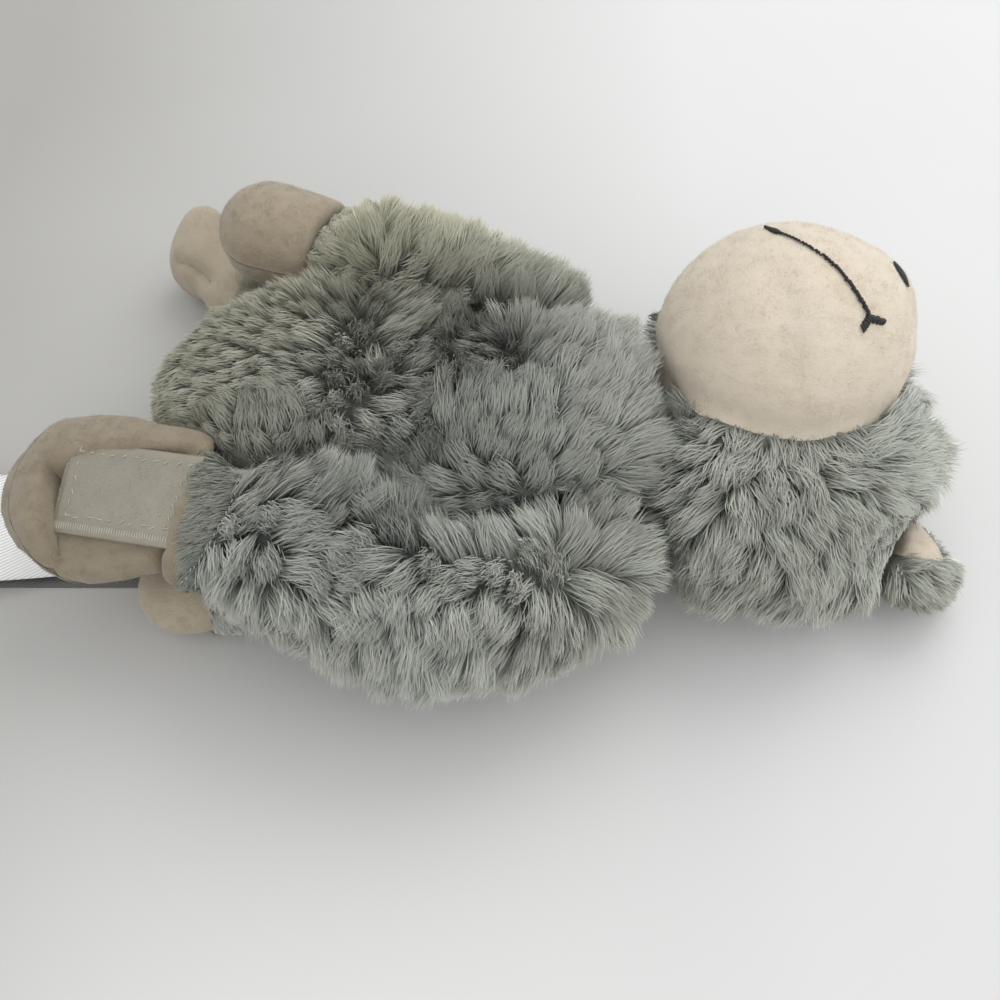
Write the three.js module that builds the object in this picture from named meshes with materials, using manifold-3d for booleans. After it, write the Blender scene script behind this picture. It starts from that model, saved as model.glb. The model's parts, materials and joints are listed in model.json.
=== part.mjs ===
// A small plush sloth that lies on its back: long fur over the body, hood, arms and legs, short velour
// on the face, paws and feet, and a square of touch-fastener tape on each palm.
// +X runs from the rump to the head, +Z is up, and the origin is where the middle of the back rests.
// Lengths are in millimetres and angles in degrees. The toy's left side is at -Y.
import * as THREE from 'three';
import { mergeVertices } from 'three/addons/utils/BufferGeometryUtils.js';
import Module from 'manifold-3d';

const wasm = await Module();
wasm.setup();

// How pieces meet.
const gap = 0.3; // between pieces that touch
const bedding = 0.5; // how deep a soft form is pressed flat where the toy lies on it
const reach = 600; // longer than anything here: the side of a cutting block

// Cloths and fillings.
const furDepth = 5; // backing and matted pile of the long fur
const velourDepth = 1.6; // backing and pile of the short velour
const tapeDepth = 1.5; // touch-fastener tape with its hooks or loops
const threadRadius = 0.7; // a run of satin stitches on the face
const patchRaise = 0.8; // embroidered patches stand this proud of the face

const torso = {
  length: 122,
  halfWidth: 32,
  halfRise: 26, // belly above the axis
  axisHeight: 21,
  rumpX: -78.5,
  rumpY: 17,
  drift: -22, // sideways, from the rump to the neck
  neckX: 32.5, // the neck seam
  seamHeight: 19, // side seams between the belly and the back
  widthShares: [0.56, 0.86, 0.98, 0.99, 0.92, 0.8, 0.62],
  riseShares: [0.56, 0.82, 0.93, 0.86, 0.93, 0.86, 0.66],
  sinkShares: [0.95, 1, 1, 1, 1, 1, 0.85], // the back below the axis
  squareness: 2.3,
  rumpCapShare: 0.75, // how far its two ends round off, as shares of the half width
  neckCapShare: 0.6,
  chestSeamX: 9, // where the chest seam crosses the axis of the body
  chestSeamTurn: 32,
};

const head = {
  length: 66,
  halfWidth: 38,
  halfHeight: 21.5,
  tuck: 4.5, // how far its form would reach past the neck seam
  middleY: 2,
  widthShares: [0.62, 0.94, 1, 0.95, 0.68],
  heightShares: [0.96, 1, 1, 0.98, 0.84],
  squareness: 2.2,
  neckCapShare: 0.28, // how far its two ends round off, as shares of the half width
  crownCapShare: 0.56,
  neckY: 2, // the axis that the head turns about
  neckZ: 22,
};

const face = {
  halfLength: 27,
  halfWidth: 25.5,
  halfHeight: 25.5,
  x: 60,
  y: 14.5,
  z: 38.5,
  forwardShares: [0.487, 0.264, 0.832], // the way that the face looks
  lateralShares: [0.572, -0.817, -0.076], // towards the toy's left ear
  mouthHalfWidth: 13.3,
  mouthDown: 30, // angles from the middle of the face
  mouthDab: 3.2, // half of the short stitch across each end of the mouth
  eyeUp: 13,
  eyeOut: 15.5,
  eyeLength: 6.6,
  eyeWidth: 3,
  noseUp: 16,
  noseLength: 4.4,
  noseWidth: 3,
};

const ear = {
  upTurn: 98, // where it stands on the hood, in the angles of the face
  outTurn: 70,
  fromMiddle: 36,
  halfLength: 13,
  halfWidth: 12.5,
  halfDepth: 5.5,
  liningDepth: 3,
};

// Each arm runs from its shoulder ball to the wrist seam. Path shares are of its length.
const armLength = 82;
const armCuff = 8;
const shoulderRadius = 14;
const arms = {
  left: {
    side: -1,
    shoulderX: 17,
    shoulderY: -29.5,
    shoulderZ: 21.5,
    halfWidth: 18,
    halfHeight: 14.5,
    pathShares: [[0, 0, 0], [-0.3, -0.12, 0.03], [-0.65, -0.03, 0.11], [-0.982, 0.116, 0.1]],
    widthShares: [0.75, 0.889, 0.944, 1, 0.972, 0.889],
    heightShares: [0.931, 1, 0.897, 0.793, 0.621, 0.552],
    roll: -8,
    wristTurn: 13,
  },
  right: {
    side: 1,
    shoulderX: 5,
    shoulderY: 28.5,
    shoulderZ: 27,
    halfWidth: 14,
    halfHeight: 13.5,
    pathShares: [[0, 0, 0], [-0.19, 0.085, 0.06], [-0.366, 0.15, 0.088], [-0.54, 0.233, 0.088]],
    widthShares: [0.929, 1, 1, 0.929, 0.857, 0.821],
    heightShares: [0.963, 1, 0.963, 0.889, 0.815, 0.778],
    roll: 0,
    wristTurn: 0,
  },
};

const paws = {
  left: {
    length: 42.5,
    halfWidth: 18.5,
    halfHeight: 7,
    widthShares: [0.7, 0.8, 0.98, 0.93, 0.684],
    heightShares: [0.971, 1, 0.914, 0.857, 0.714],
    turn: -3,
    dip: 8,
    roll: -12,
    palm: 1,
  },
  right: {
    length: 28,
    halfWidth: 12.1,
    halfHeight: 12,
    widthShares: [0.8, 0.94, 1, 0.963, 0.815],
    heightShares: [0.792, 0.958, 1, 1, 0.833],
    turn: 8,
    dip: -4,
    roll: 0,
    palm: -1,
  },
};
const pawPathShares = [-0.3, 0.1, 0.55, 1]; // along the paw, from behind the wrist seam
const tape = { length: 27, width: 18.5, fromWrist: 1, aside: 3.5, names: { left: 'hook', right: 'loop' } };
const hiddenWall = 2.4; // the cloth of a limb where it lies against the torso
const limbOverrun = 12; // how far a limb's form runs on past the seam at its end

const legLength = 42;
const footLength = 17;
const hipRadius = 7.4;
const legs = {
  left: {
    side: -1,
    hipX: -36,
    hipY: -26.5,
    hipZ: 7.9,
    heading: 183,
    halfWidth: 10,
    halfHeight: 8.2,
    widthShares: [0.74, 0.9, 0.94, 1, 0.9],
    heightShares: [0.829, 0.854, 0.902, 1, 0.951],
  },
  right: {
    side: 1,
    hipX: -58,
    hipY: 43.5,
    hipZ: 8.6,
    heading: 130,
    halfWidth: 10.6,
    halfHeight: 9.4,
    widthShares: [0.698, 0.849, 0.906, 1, 0.887],
    heightShares: [0.745, 0.83, 0.915, 1, 0.894],
  },
};
const armPass = { overLegs: 17.2, from: 44.5, to: 112 }; // height, and distances from the shoulder's axis

const label = {
  width: 29, length: 72, depth: 0.5, rootX: -53, rootY: 1.5, heading: 190, curl: 5, curlShare: 0.5,
};

// Facets.
const bodyMesh = { sides: 20, rings: 8, capRings: 3, inner: { sides: 12, rings: 5, capRings: 2 } };
const limbMesh = { sides: 14, rings: 5, capRings: 3, inner: { sides: 10, rings: 3, capRings: 2 } };
const ballSides = { face: 24, faceInner: 14, root: 12, rootInner: 8, ear: 12, ring: 24 };
const stitchSteps = { mouth: 10, dab: 4, round: 3 };
const labelSegments = 6;
const roundRings = 0.7; // rings of a ball, as a share of its sides

const degrees = THREE.MathUtils.degToRad;
const vector = (x, y, z) => new THREE.Vector3(x, y, z);
const upwards = vector(0, 0, 1);

const finishes = {
  fur: { color: 0x8b908b, roughness: 0.95, metalness: 0 },
  velour: { color: 0xd8c8b4, roughness: 0.9, metalness: 0 },
  stuffing: { color: 0xf2f2ee, roughness: 1, metalness: 0 },
  tape: { color: 0xe9e7e1, roughness: 0.6, metalness: 0 },
  thread: { color: 0x15130f, roughness: 0.7, metalness: 0 },
  satin: { color: 0xf4f4f2, roughness: 0.4, metalness: 0 },
};

function solidOf(geometry) {
  const bare = geometry.index ? geometry.clone() : geometry;
  bare.deleteAttribute('normal');
  bare.deleteAttribute('uv');
  const merged = mergeVertices(bare);
  return new wasm.Manifold(new wasm.Mesh({
    numProp: 3,
    vertProperties: new Float32Array(merged.attributes.position.array),
    triVerts: new Uint32Array(merged.index.array),
  }));
}

function pieceOf(name, finish, solid) {
  const { vertProperties, triVerts } = solid.getMesh();
  const geometry = new THREE.BufferGeometry();
  geometry.setAttribute('position', new THREE.BufferAttribute(vertProperties, 3));
  geometry.setIndex(new THREE.BufferAttribute(triVerts, 1));
  geometry.computeVertexNormals();
  const mesh = new THREE.Mesh(geometry, new THREE.MeshStandardMaterial(finishes[finish]));
  mesh.name = name;
  return mesh;
}

const cutAll = (solid, others) => others.reduce((left, other) => left.subtract(other), solid);

// Everything on the side of a plane that its normal points to.
function beyond(point, normal) {
  const block = new THREE.BoxGeometry(reach, reach, reach);
  block.translate(0, 0, reach / 2);
  block.applyQuaternion(new THREE.Quaternion().setFromUnitVectors(upwards, normal.clone().normalize()));
  block.translate(point.x, point.y, point.z);
  return solidOf(block);
}

const floorBlock = beyond(vector(0, 0, 0), upwards.clone().negate());

function eggAt(centre, halfLength, halfWidth, halfHeight, sides) {
  const egg = new THREE.SphereGeometry(1, sides, Math.round(sides * roundRings));
  egg.rotateX(Math.PI / 2);
  egg.scale(halfLength, halfWidth, halfHeight);
  egg.translate(centre.x, centre.y, centre.z);
  return solidOf(egg);
}

const ballAt = (centre, radius, sides = ballSides.root) => eggAt(centre, radius, radius, radius, sides);

const sharesOf = (shares, size) => shares.map((share) => share * size);
const evenShares = (count) => Array.from({ length: count }, (_, index) => index / (count - 1));

const sizeAt = (list, share) => new THREE.SplineCurve(
  list.map((size, index) => new THREE.Vector2(index, size))).getPoint(share).y;

// A stuffed form: rings that swell and taper along a smooth path between two rounded ends.
function stuffed(form, grow = 0, coarse = grow <= -velourDepth) {
  const { path, wide, high, low = high, square = 2, roll = 0, capStart, capEnd } = form;
  const mesh = coarse ? form.mesh.inner : form.mesh;
  const points = path.map((point) => point.clone());
  const last = points.length - 1;
  points[0].addScaledVector(path[0].clone().sub(path[1]).normalize(), grow);
  points[last].addScaledVector(path[last].clone().sub(path[last - 1]).normalize(), grow);
  const curve = new THREE.CatmullRomCurve3(points);
  const length = curve.getLength();
  const startShare = Math.max(capStart + grow, capStart / 4) / length;
  const endShare = Math.max(capEnd + grow, capEnd / 4) / length;
  const stations = [];
  for (let ring = 1; ring <= mesh.capRings; ring += 1) {
    const bend = (ring / mesh.capRings) * (Math.PI / 2);
    stations.push({ share: startShare * (1 - Math.cos(bend)), swell: Math.sin(bend) });
  }
  for (let ring = 1; ring <= mesh.rings; ring += 1) {
    stations.push({ share: startShare + (1 - startShare - endShare) * ring / (mesh.rings + 1), swell: 1 });
  }
  for (let ring = mesh.capRings; ring >= 1; ring -= 1) {
    const bend = (ring / mesh.capRings) * (Math.PI / 2);
    stations.push({ share: 1 - endShare * (1 - Math.cos(bend)), swell: Math.sin(bend) });
  }
  const corners = [curve.getPointAt(0)];
  for (const { share, swell } of stations) {
    const tangent = curve.getTangentAt(share);
    const across = upwards.clone().cross(tangent).normalize().applyAxisAngle(tangent, degrees(roll));
    const rise = tangent.clone().cross(across);
    for (let side = 0; side < mesh.sides; side += 1) {
      const angle = (2 * Math.PI * side) / mesh.sides;
      const [cosine, sine] = [Math.cos(angle), Math.sin(angle)];
      const squared = (value) => Math.sign(value) * Math.abs(value) ** (2 / square);
      const lift = sine < 0 ? low : high;
      corners.push(curve.getPointAt(share)
        .addScaledVector(across, (sizeAt(wide, share) + grow) * swell * squared(cosine))
        .addScaledVector(rise, (sizeAt(lift, share) + grow) * swell * squared(sine)));
    }
  }
  corners.push(curve.getPointAt(1));
  const faces = [];
  const at = (ring, side) => 1 + ring * mesh.sides + (side % mesh.sides);
  for (let side = 0; side < mesh.sides; side += 1) {
    faces.push(0, at(0, side + 1), at(0, side));
    faces.push(corners.length - 1, at(stations.length - 1, side), at(stations.length - 1, side + 1));
    for (let ring = 0; ring < stations.length - 1; ring += 1) {
      faces.push(at(ring, side), at(ring, side + 1), at(ring + 1, side));
      faces.push(at(ring, side + 1), at(ring + 1, side + 1), at(ring + 1, side));
    }
  }
  const geometry = new THREE.BufferGeometry().setFromPoints(corners);
  geometry.setIndex(faces);
  return solidOf(geometry);
}

// The torso.
const torsoPath = evenShares(5).map((share) => vector(
  torso.rumpX + torso.length * share, torso.rumpY + torso.drift * share, torso.axisHeight));
const torsoForm = {
  path: torsoPath,
  wide: sharesOf(torso.widthShares, torso.halfWidth),
  high: sharesOf(torso.riseShares, torso.halfRise),
  low: sharesOf(torso.sinkShares, torso.axisHeight + bedding),
  square: torso.squareness,
  mesh: bodyMesh,
  capStart: torso.halfWidth * torso.rumpCapShare,
  capEnd: torso.halfWidth * torso.neckCapShare,
};
const neckAt = vector(torso.neckX, head.neckY, head.neckZ);
const headSide = (clearance) => beyond(neckAt.clone().setX(torso.neckX - clearance), vector(1, 0, 0));
const torsoSide = (clearance) => beyond(neckAt.clone().setX(torso.neckX + clearance), vector(-1, 0, 0));

const shoulderAt = (arm) => vector(arm.shoulderX, arm.shoulderY, arm.shoulderZ);
const hipAt = (leg) => vector(leg.hipX, leg.hipY, leg.hipZ);

// A socket is as much wider than its ball as the corners of the ball's facets need to turn in it.
const socketAt = (centre, radius) => ballAt(centre, (radius + gap) / Math.cos(Math.PI / ballSides.root));
const sockets = [
  ...Object.values(arms).map((arm) => socketAt(shoulderAt(arm), shoulderRadius)),
  ...Object.values(legs).map((leg) => socketAt(hipAt(leg), hipRadius)),
];

function torsoPieces() {
  const outer = cutAll(stuffed(torsoForm), [floorBlock, headSide(gap / 2), ...sockets]);
  const hollow = stuffed(torsoForm, -furDepth);
  const filling = cutAll(stuffed(torsoForm, -furDepth - gap), [headSide(gap / 2), ...sockets]);
  const skin = outer.subtract(hollow);
  const seam = vector(0, 0, torso.seamHeight);
  const front = skin.subtract(beyond(seam, upwards.clone().negate()));
  const back = skin.subtract(beyond(seam.clone().setZ(torso.seamHeight - gap), upwards));
  const turn = degrees(torso.chestSeamTurn);
  const towardsHead = vector(Math.cos(turn), Math.sin(turn), 0);
  const chestAt = vector(torso.chestSeamX, 0, 0);
  const belly = front.subtract(beyond(chestAt, towardsHead));
  const yokeStart = chestAt.clone().addScaledVector(towardsHead, gap);
  const yoke = front.subtract(beyond(yokeStart, towardsHead.clone().negate()));
  return [
    pieceOf('belly_fur_panel', 'fur', belly),
    pieceOf('chest_yoke_fur_panel', 'fur', yoke),
    pieceOf('back_fur_panel', 'fur', back),
    pieceOf('torso_stuffing', 'stuffing', filling),
  ];
}

// The head.
const headPath = evenShares(4).map((share) => vector(
  torso.neckX - head.tuck + share * head.length, head.middleY, head.halfHeight - bedding));
const headMiddle = headPath[0].clone().lerp(headPath.at(-1), 1 / 2);
const hood = {
  path: headPath,
  wide: sharesOf(head.widthShares, head.halfWidth),
  high: sharesOf(head.heightShares, head.halfHeight),
  square: head.squareness,
  mesh: bodyMesh,
  capStart: head.halfWidth * head.neckCapShare,
  capEnd: head.halfWidth * head.crownCapShare,
};
const faceMiddle = vector(face.x, face.y, face.z);
const hoodForm = (grow = 0) => stuffed(hood, grow);
const faceForm = (grow = 0) => eggAt(faceMiddle, face.halfLength + grow, face.halfWidth + grow,
  face.halfHeight + grow, grow < 0 ? ballSides.faceInner : ballSides.face);

const faceForward = vector(...face.forwardShares).normalize();
const faceLateral = vector(...face.lateralShares).normalize();
const faceUp = faceLateral.clone().cross(faceForward).negate().normalize();

// The direction from the middle of the head `up` degrees above the face and `out` degrees to its left.
function faceDirection(up, out) {
  return faceForward.clone().multiplyScalar(Math.cos(degrees(up)))
    .addScaledVector(faceUp, Math.sin(degrees(up)))
    .multiplyScalar(Math.cos(degrees(out)))
    .addScaledVector(faceLateral, Math.sin(degrees(out)));
}

// The point at that direction, `proud` above the velour.
function onFace(up, out, proud = 0) {
  const size = vector(face.halfLength + proud, face.halfWidth + proud, face.halfHeight + proud);
  return faceMiddle.clone().add(faceDirection(up, out).multiply(size));
}

// A run of satin stitches through points on the face, as a thin bar.
function stitchRun(places, radius, steps) {
  const section = new THREE.Shape().absarc(0, 0, radius, 0, 2 * Math.PI);
  const points = places.map(([up, out]) => onFace(up, out, gap + threadRadius));
  const bar = new THREE.ExtrudeGeometry(section, {
    steps, curveSegments: stitchSteps.round, extrudePath: new THREE.CatmullRomCurve3(points),
  });
  return solidOf(bar);
}

function mouth() {
  const outMost = THREE.MathUtils.radToDeg(Math.asin(face.mouthHalfWidth / face.halfWidth));
  const dab = THREE.MathUtils.radToDeg(face.mouthDab / face.halfWidth);
  const line = stitchRun(evenShares(5).map((share) => [-face.mouthDown, outMost * (2 * share - 1)]),
    threadRadius, stitchSteps.mouth);
  const dabs = [-1, 1].map((side) => stitchRun([-1, 0, 1].map((share) => [
    -face.mouthDown + dab * share, side * (outMost + Math.abs(share) * dab / 2)]), threadRadius, stitchSteps.dab));
  return dabs.reduce((joined, run) => joined.add(run), line);
}

// A thin embroidered patch on the face, with an oval outline.
function facePatch(up, out, halfLength, halfWidth) {
  const oval = new THREE.CylinderGeometry(1, 1, face.halfWidth, ballSides.ear);
  oval.scale(halfLength, 1, halfWidth);
  const outward = faceDirection(up, out);
  const across = faceLateral.clone().addScaledVector(outward, -faceLateral.dot(outward)).normalize();
  oval.applyMatrix4(new THREE.Matrix4().makeBasis(across, outward, across.clone().cross(outward)));
  const seat = onFace(up, out);
  oval.translate(seat.x, seat.y, seat.z);
  return faceForm(gap + patchRaise).subtract(faceForm(gap)).intersect(solidOf(oval));
}

function headPieces() {
  const neckCut = torsoSide(gap / 2);
  const hood = cutAll(hoodForm(), [hoodForm(-furDepth), faceForm(gap), floorBlock, neckCut]);
  const facePanel = cutAll(faceForm(), [hoodForm(-furDepth), faceForm(-velourDepth), neckCut]);
  const filling = hoodForm(-furDepth - gap).add(faceForm(-velourDepth - gap)).subtract(neckCut);
  return [
    pieceOf('hood_fur_panel', 'fur', hood),
    pieceOf('face_velour_panel', 'velour', facePanel),
    pieceOf('head_stuffing', 'stuffing', filling),
    pieceOf('mouth_stitching', 'thread', mouth()),
    pieceOf('nose_stitching', 'thread', facePatch(face.noseUp, 0, face.noseLength / 2, face.noseWidth / 2)),
    pieceOf('left_eye_stitching', 'thread',
      facePatch(face.eyeUp, face.eyeOut, face.eyeLength / 2, face.eyeWidth / 2)),
    pieceOf('right_eye_stitching', 'thread',
      facePatch(face.eyeUp, -face.eyeOut, face.eyeLength / 2, face.eyeWidth / 2)),
  ];
}

// An ear: a small flap that stands on the hood, fur outside and velour inside.
function earFrame(side) {
  const outward = faceDirection(ear.upTurn, side * ear.outTurn);
  const frontward = faceForward.clone().addScaledVector(outward, -faceForward.dot(outward)).normalize();
  return { at: headMiddle.clone().addScaledVector(outward, ear.fromMiddle), outward, frontward };
}

function earPieces(name, side) {
  const { at, outward, frontward } = earFrame(side);
  const flap = new THREE.SphereGeometry(1, ballSides.ear, Math.round(ballSides.ear * roundRings));
  flap.scale(ear.halfLength, ear.halfWidth, ear.halfDepth);
  flap.applyMatrix4(new THREE.Matrix4().makeBasis(outward, frontward.clone().cross(outward), frontward));
  flap.translate(at.x, at.y, at.z);
  const whole = cutAll(solidOf(flap), [hoodForm(gap), faceForm(gap), floorBlock, torsoSide(gap / 2)]);
  const seam = at.clone().addScaledVector(frontward, ear.halfDepth - ear.liningDepth);
  const back = whole.subtract(beyond(seam, frontward));
  const lining = whole.intersect(beyond(seam.clone().addScaledVector(frontward, gap), frontward));
  return [
    pieceOf(`${name}_ear_fur_back`, 'fur', back),
    pieceOf(`${name}_ear_velour_lining`, 'velour', lining),
  ];
}

// The limbs. A limb's form runs on past its end seam, where a plane cuts it.
function limbForm(path, sizes, roll) {
  const last = path.length - 1;
  const onwards = path[last].clone().sub(path[last - 1]).normalize();
  return {
    path: [...path, path[last].clone().addScaledVector(onwards, limbOverrun)],
    wide: sharesOf(sizes.widthShares, sizes.halfWidth),
    high: sharesOf(sizes.heightShares, sizes.halfHeight),
    roll,
    mesh: limbMesh,
    capStart: limbOverrun / 3,
    capEnd: limbOverrun / 2,
  };
}

// A limb's form less the torso beside it, where its wall is thin.
function besideTorso(form, grow) {
  const wall = grow < 0 ? Math.min(-grow, hiddenWall) + Math.max(-grow - furDepth, 0) : 0;
  return stuffed(form, grow).subtract(stuffed(torsoForm, gap + wall, wall >= hiddenWall));
}

// The same with the ball that turns in the torso's socket. A ball too small to hollow out stays solid.
function rooted(form, centre, radius, grow) {
  const inside = grow < 0;
  const limb = besideTorso(form, grow);
  if (radius + grow < radius / 2) return limb;
  return limb.add(ballAt(centre, radius + grow, inside ? ballSides.rootInner : ballSides.root));
}

// The ring that a leg may reach into under a swinging arm, grown by the depth of the arm's cloth.
function legRing(arm, grow) {
  const height = armPass.overLegs + gap - grow;
  const [inner, outer] = [armPass.from + grow, armPass.to - grow];
  const ring = new THREE.LatheGeometry(
    [[inner, 0], [outer, 0], [outer, height], [inner, height], [inner, 0]].map(
      ([radius, z]) => new THREE.Vector2(radius, z)), ballSides.ring);
  ring.rotateX(Math.PI / 2);
  ring.translate(arm.shoulderX, arm.shoulderY, 0);
  return solidOf(ring);
}

function armPath(arm) {
  const shoulder = shoulderAt(arm);
  return arm.pathShares.map(([x, y, z]) => shoulder.clone().add(
    vector(x * armLength, y * armLength, z * armLength)));
}

// The plane of the wrist seam: where it crosses the arm's axis, and which way the paw lies.
function wristOf(arm) {
  const path = armPath(arm);
  const last = path.length - 1;
  const along = path[last].clone().sub(path[last - 1]).normalize();
  return { at: path[last], along: along.applyAxisAngle(upwards, degrees(arm.wristTurn)) };
}

function armPieces(name, arm) {
  const form = limbForm(armPath(arm), arm, arm.roll);
  const wrist = wristOf(arm);
  const pastWrist = beyond(wrist.at.clone().addScaledVector(wrist.along, -gap / 2), wrist.along);
  const clear = (grow) => rooted(form, shoulderAt(arm), shoulderRadius, grow).subtract(legRing(arm, grow));
  const outer = clear(0).subtract(pastWrist).subtract(headSide(gap / 2));
  const skin = outer.subtract(clear(-furDepth));
  const filling = clear(-furDepth - gap).subtract(pastWrist);
  const cuffSeam = wrist.at.clone().addScaledVector(wrist.along, -armCuff);
  const cuff = skin.intersect(beyond(cuffSeam, wrist.along));
  const sleeve = skin.subtract(beyond(cuffSeam.clone().addScaledVector(wrist.along, -gap), wrist.along));
  const seam = vector(0, 0, arm.shoulderZ);
  const upper = sleeve.subtract(beyond(seam, upwards.clone().negate()));
  const under = sleeve.subtract(beyond(seam.clone().setZ(arm.shoulderZ - gap), upwards));
  return [
    pieceOf(`${name}_arm_upper_fur_panel`, 'fur', upper),
    pieceOf(`${name}_arm_under_fur_panel`, 'fur', under),
    pieceOf(`${name}_arm_cuff_band`, 'fur', cuff),
    pieceOf(`${name}_arm_stuffing`, 'stuffing', filling),
  ];
}

// A paw is level with its wrist seam and turns from the arm's line by `turn` to the side and `dip` down.
function pawFrame(arm, paw) {
  const { at, along } = wristOf(arm);
  const turned = along.clone().applyAxisAngle(upwards, degrees(arm.side * paw.turn));
  const across = upwards.clone().cross(turned).normalize();
  const heading = turned.applyAxisAngle(across, degrees(paw.dip));
  return { at, along, across, heading };
}

function pawPieces(name, arm, paw) {
  const { at, along, heading } = pawFrame(arm, paw);
  const form = {
    path: pawPathShares.map((share) => at.clone().addScaledVector(
      share < 0 ? along : heading, share * paw.length)),
    wide: sharesOf(paw.widthShares, paw.halfWidth),
    high: sharesOf(paw.heightShares, paw.halfHeight),
    roll: paw.roll,
    mesh: limbMesh,
    capStart: limbOverrun / 4,
    capEnd: paw.halfWidth * paw.widthShares.at(-1),
  };
  const beforeWrist = beyond(at.clone().addScaledVector(along, gap / 2), along.clone().negate());
  const outer = besideTorso(form, 0).subtract(beforeWrist);
  const skin = outer.subtract(besideTorso(form, -velourDepth));
  const filling = besideTorso(form, -velourDepth - gap).subtract(beforeWrist);
  const level = upwards.clone().applyAxisAngle(heading, degrees(paw.roll));
  const seam = at.clone().addScaledVector(heading, paw.length / 2);
  const upper = skin.subtract(beyond(seam.clone().addScaledVector(level, gap), level.clone().negate()));
  const under = skin.subtract(beyond(seam, level));
  const palmward = level.clone().multiplyScalar(paw.palm);
  const square = new THREE.BoxGeometry(tape.length, tape.width, paw.length);
  square.translate(tape.length / 2 + tape.fromWrist, tape.aside, paw.length / 2);
  square.applyMatrix4(new THREE.Matrix4().makeBasis(heading, palmward.clone().cross(heading), palmward));
  square.translate(at.x, at.y, at.z);
  const patch = besideTorso(form, gap + tapeDepth).subtract(stuffed(form, gap)).subtract(beforeWrist)
    .intersect(solidOf(square));
  const [palmPanel, backPanel] = paw.palm > 0 ? [upper, under] : [under, upper];
  return [
    pieceOf(`${name}_paw_palm_panel`, 'velour', palmPanel),
    pieceOf(`${name}_paw_back_panel`, 'velour', backPanel),
    pieceOf(`${name}_paw_stuffing`, 'stuffing', filling),
    pieceOf(`${name}_palm_${tape.names[name]}_tape`, 'tape', patch),
  ];
}

// The legs: a ball in the hip, a fur sleeve as far as the ankle seam, and a velour foot.
function legPieces(name, leg) {
  const hip = hipAt(leg);
  const along = vector(Math.cos(degrees(leg.heading)), Math.sin(degrees(leg.heading)), 0);
  const ankleShare = 1 - footLength / legLength;
  const form = {
    path: evenShares(4).map((share) => hip.clone().addScaledVector(along, share * legLength)),
    wide: sharesOf(leg.widthShares, leg.halfWidth),
    high: sharesOf(leg.heightShares, leg.halfHeight),
    mesh: limbMesh,
    capStart: hipRadius / 3,
    capEnd: leg.halfWidth * leg.widthShares.at(-1),
  };
  const clear = (grow) => rooted(form, hip, hipRadius, grow);
  const ankle = hip.clone().addScaledVector(along, ankleShare * legLength);
  const footEnd = beyond(ankle.clone().addScaledVector(along, gap), along);
  const legEnd = beyond(ankle, along.clone().negate());
  const outer = clear(0).subtract(floorBlock);
  const sleeve = outer.subtract(clear(-furDepth)).intersect(legEnd);
  const foot = outer.subtract(clear(-velourDepth)).intersect(footEnd);
  const filling = clear(-furDepth - gap).add(clear(-velourDepth - gap).intersect(footEnd));
  return [
    pieceOf(`${name}_leg_fur_sleeve`, 'fur', sleeve),
    pieceOf(`${name}_foot_velour`, 'velour', foot),
    pieceOf(`${name}_leg_stuffing`, 'stuffing', filling),
  ];
}

// The care label: a satin strip sewn in under the rump, flat under the foot and curling up beyond it.
function careLabel() {
  const flat = label.length * (1 - label.curlShare);
  const bend = (flat + label.length) / 2;
  const profile = new THREE.Shape();
  profile.moveTo(0, 0);
  profile.lineTo(flat, 0);
  profile.quadraticCurveTo(bend, 0, label.length, label.curl);
  profile.lineTo(label.length, label.curl + label.depth);
  profile.quadraticCurveTo(bend, label.depth, flat, label.depth);
  profile.lineTo(0, label.depth);
  const strip = new THREE.ExtrudeGeometry(profile, {
    depth: label.width, bevelEnabled: false, steps: 1, curveSegments: labelSegments,
  });
  strip.translate(0, 0, -label.width / 2);
  strip.rotateX(Math.PI / 2);
  strip.rotateZ(degrees(label.heading));
  strip.translate(label.rootX, label.rootY, 0);
  return solidOf(strip).subtract(stuffed(torsoForm, gap));
}

const toy = new THREE.Group();
toy.add(...torsoPieces(), ...headPieces(), ...earPieces('left', 1), ...earPieces('right', -1));
for (const name of ['left', 'right']) {
  toy.add(...armPieces(name, arms[name]), ...pawPieces(name, arms[name], paws[name]));
  toy.add(...legPieces(name, legs[name]));
}

toy.add(pieceOf('care_label', 'satin', careLabel()));

export default toy;
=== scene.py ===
"""A dressed plush sloth lying on its back, one arm across its body and its head turned aside.

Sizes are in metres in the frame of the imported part: X runs from the rump to the head, Y away
from the camera, Z up, and the table is at zero.
"""

import json  # noqa: E402
import logging  # noqa: E402
import math  # noqa: E402
from dataclasses import dataclass, field  # noqa: E402
from enum import Enum  # noqa: E402

import bmesh  # noqa: E402
import bpy  # noqa: E402
import numpy as np  # noqa: E402
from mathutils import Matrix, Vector  # noqa: E402
from mathutils.bvhtree import BVHTree  # noqa: E402

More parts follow.
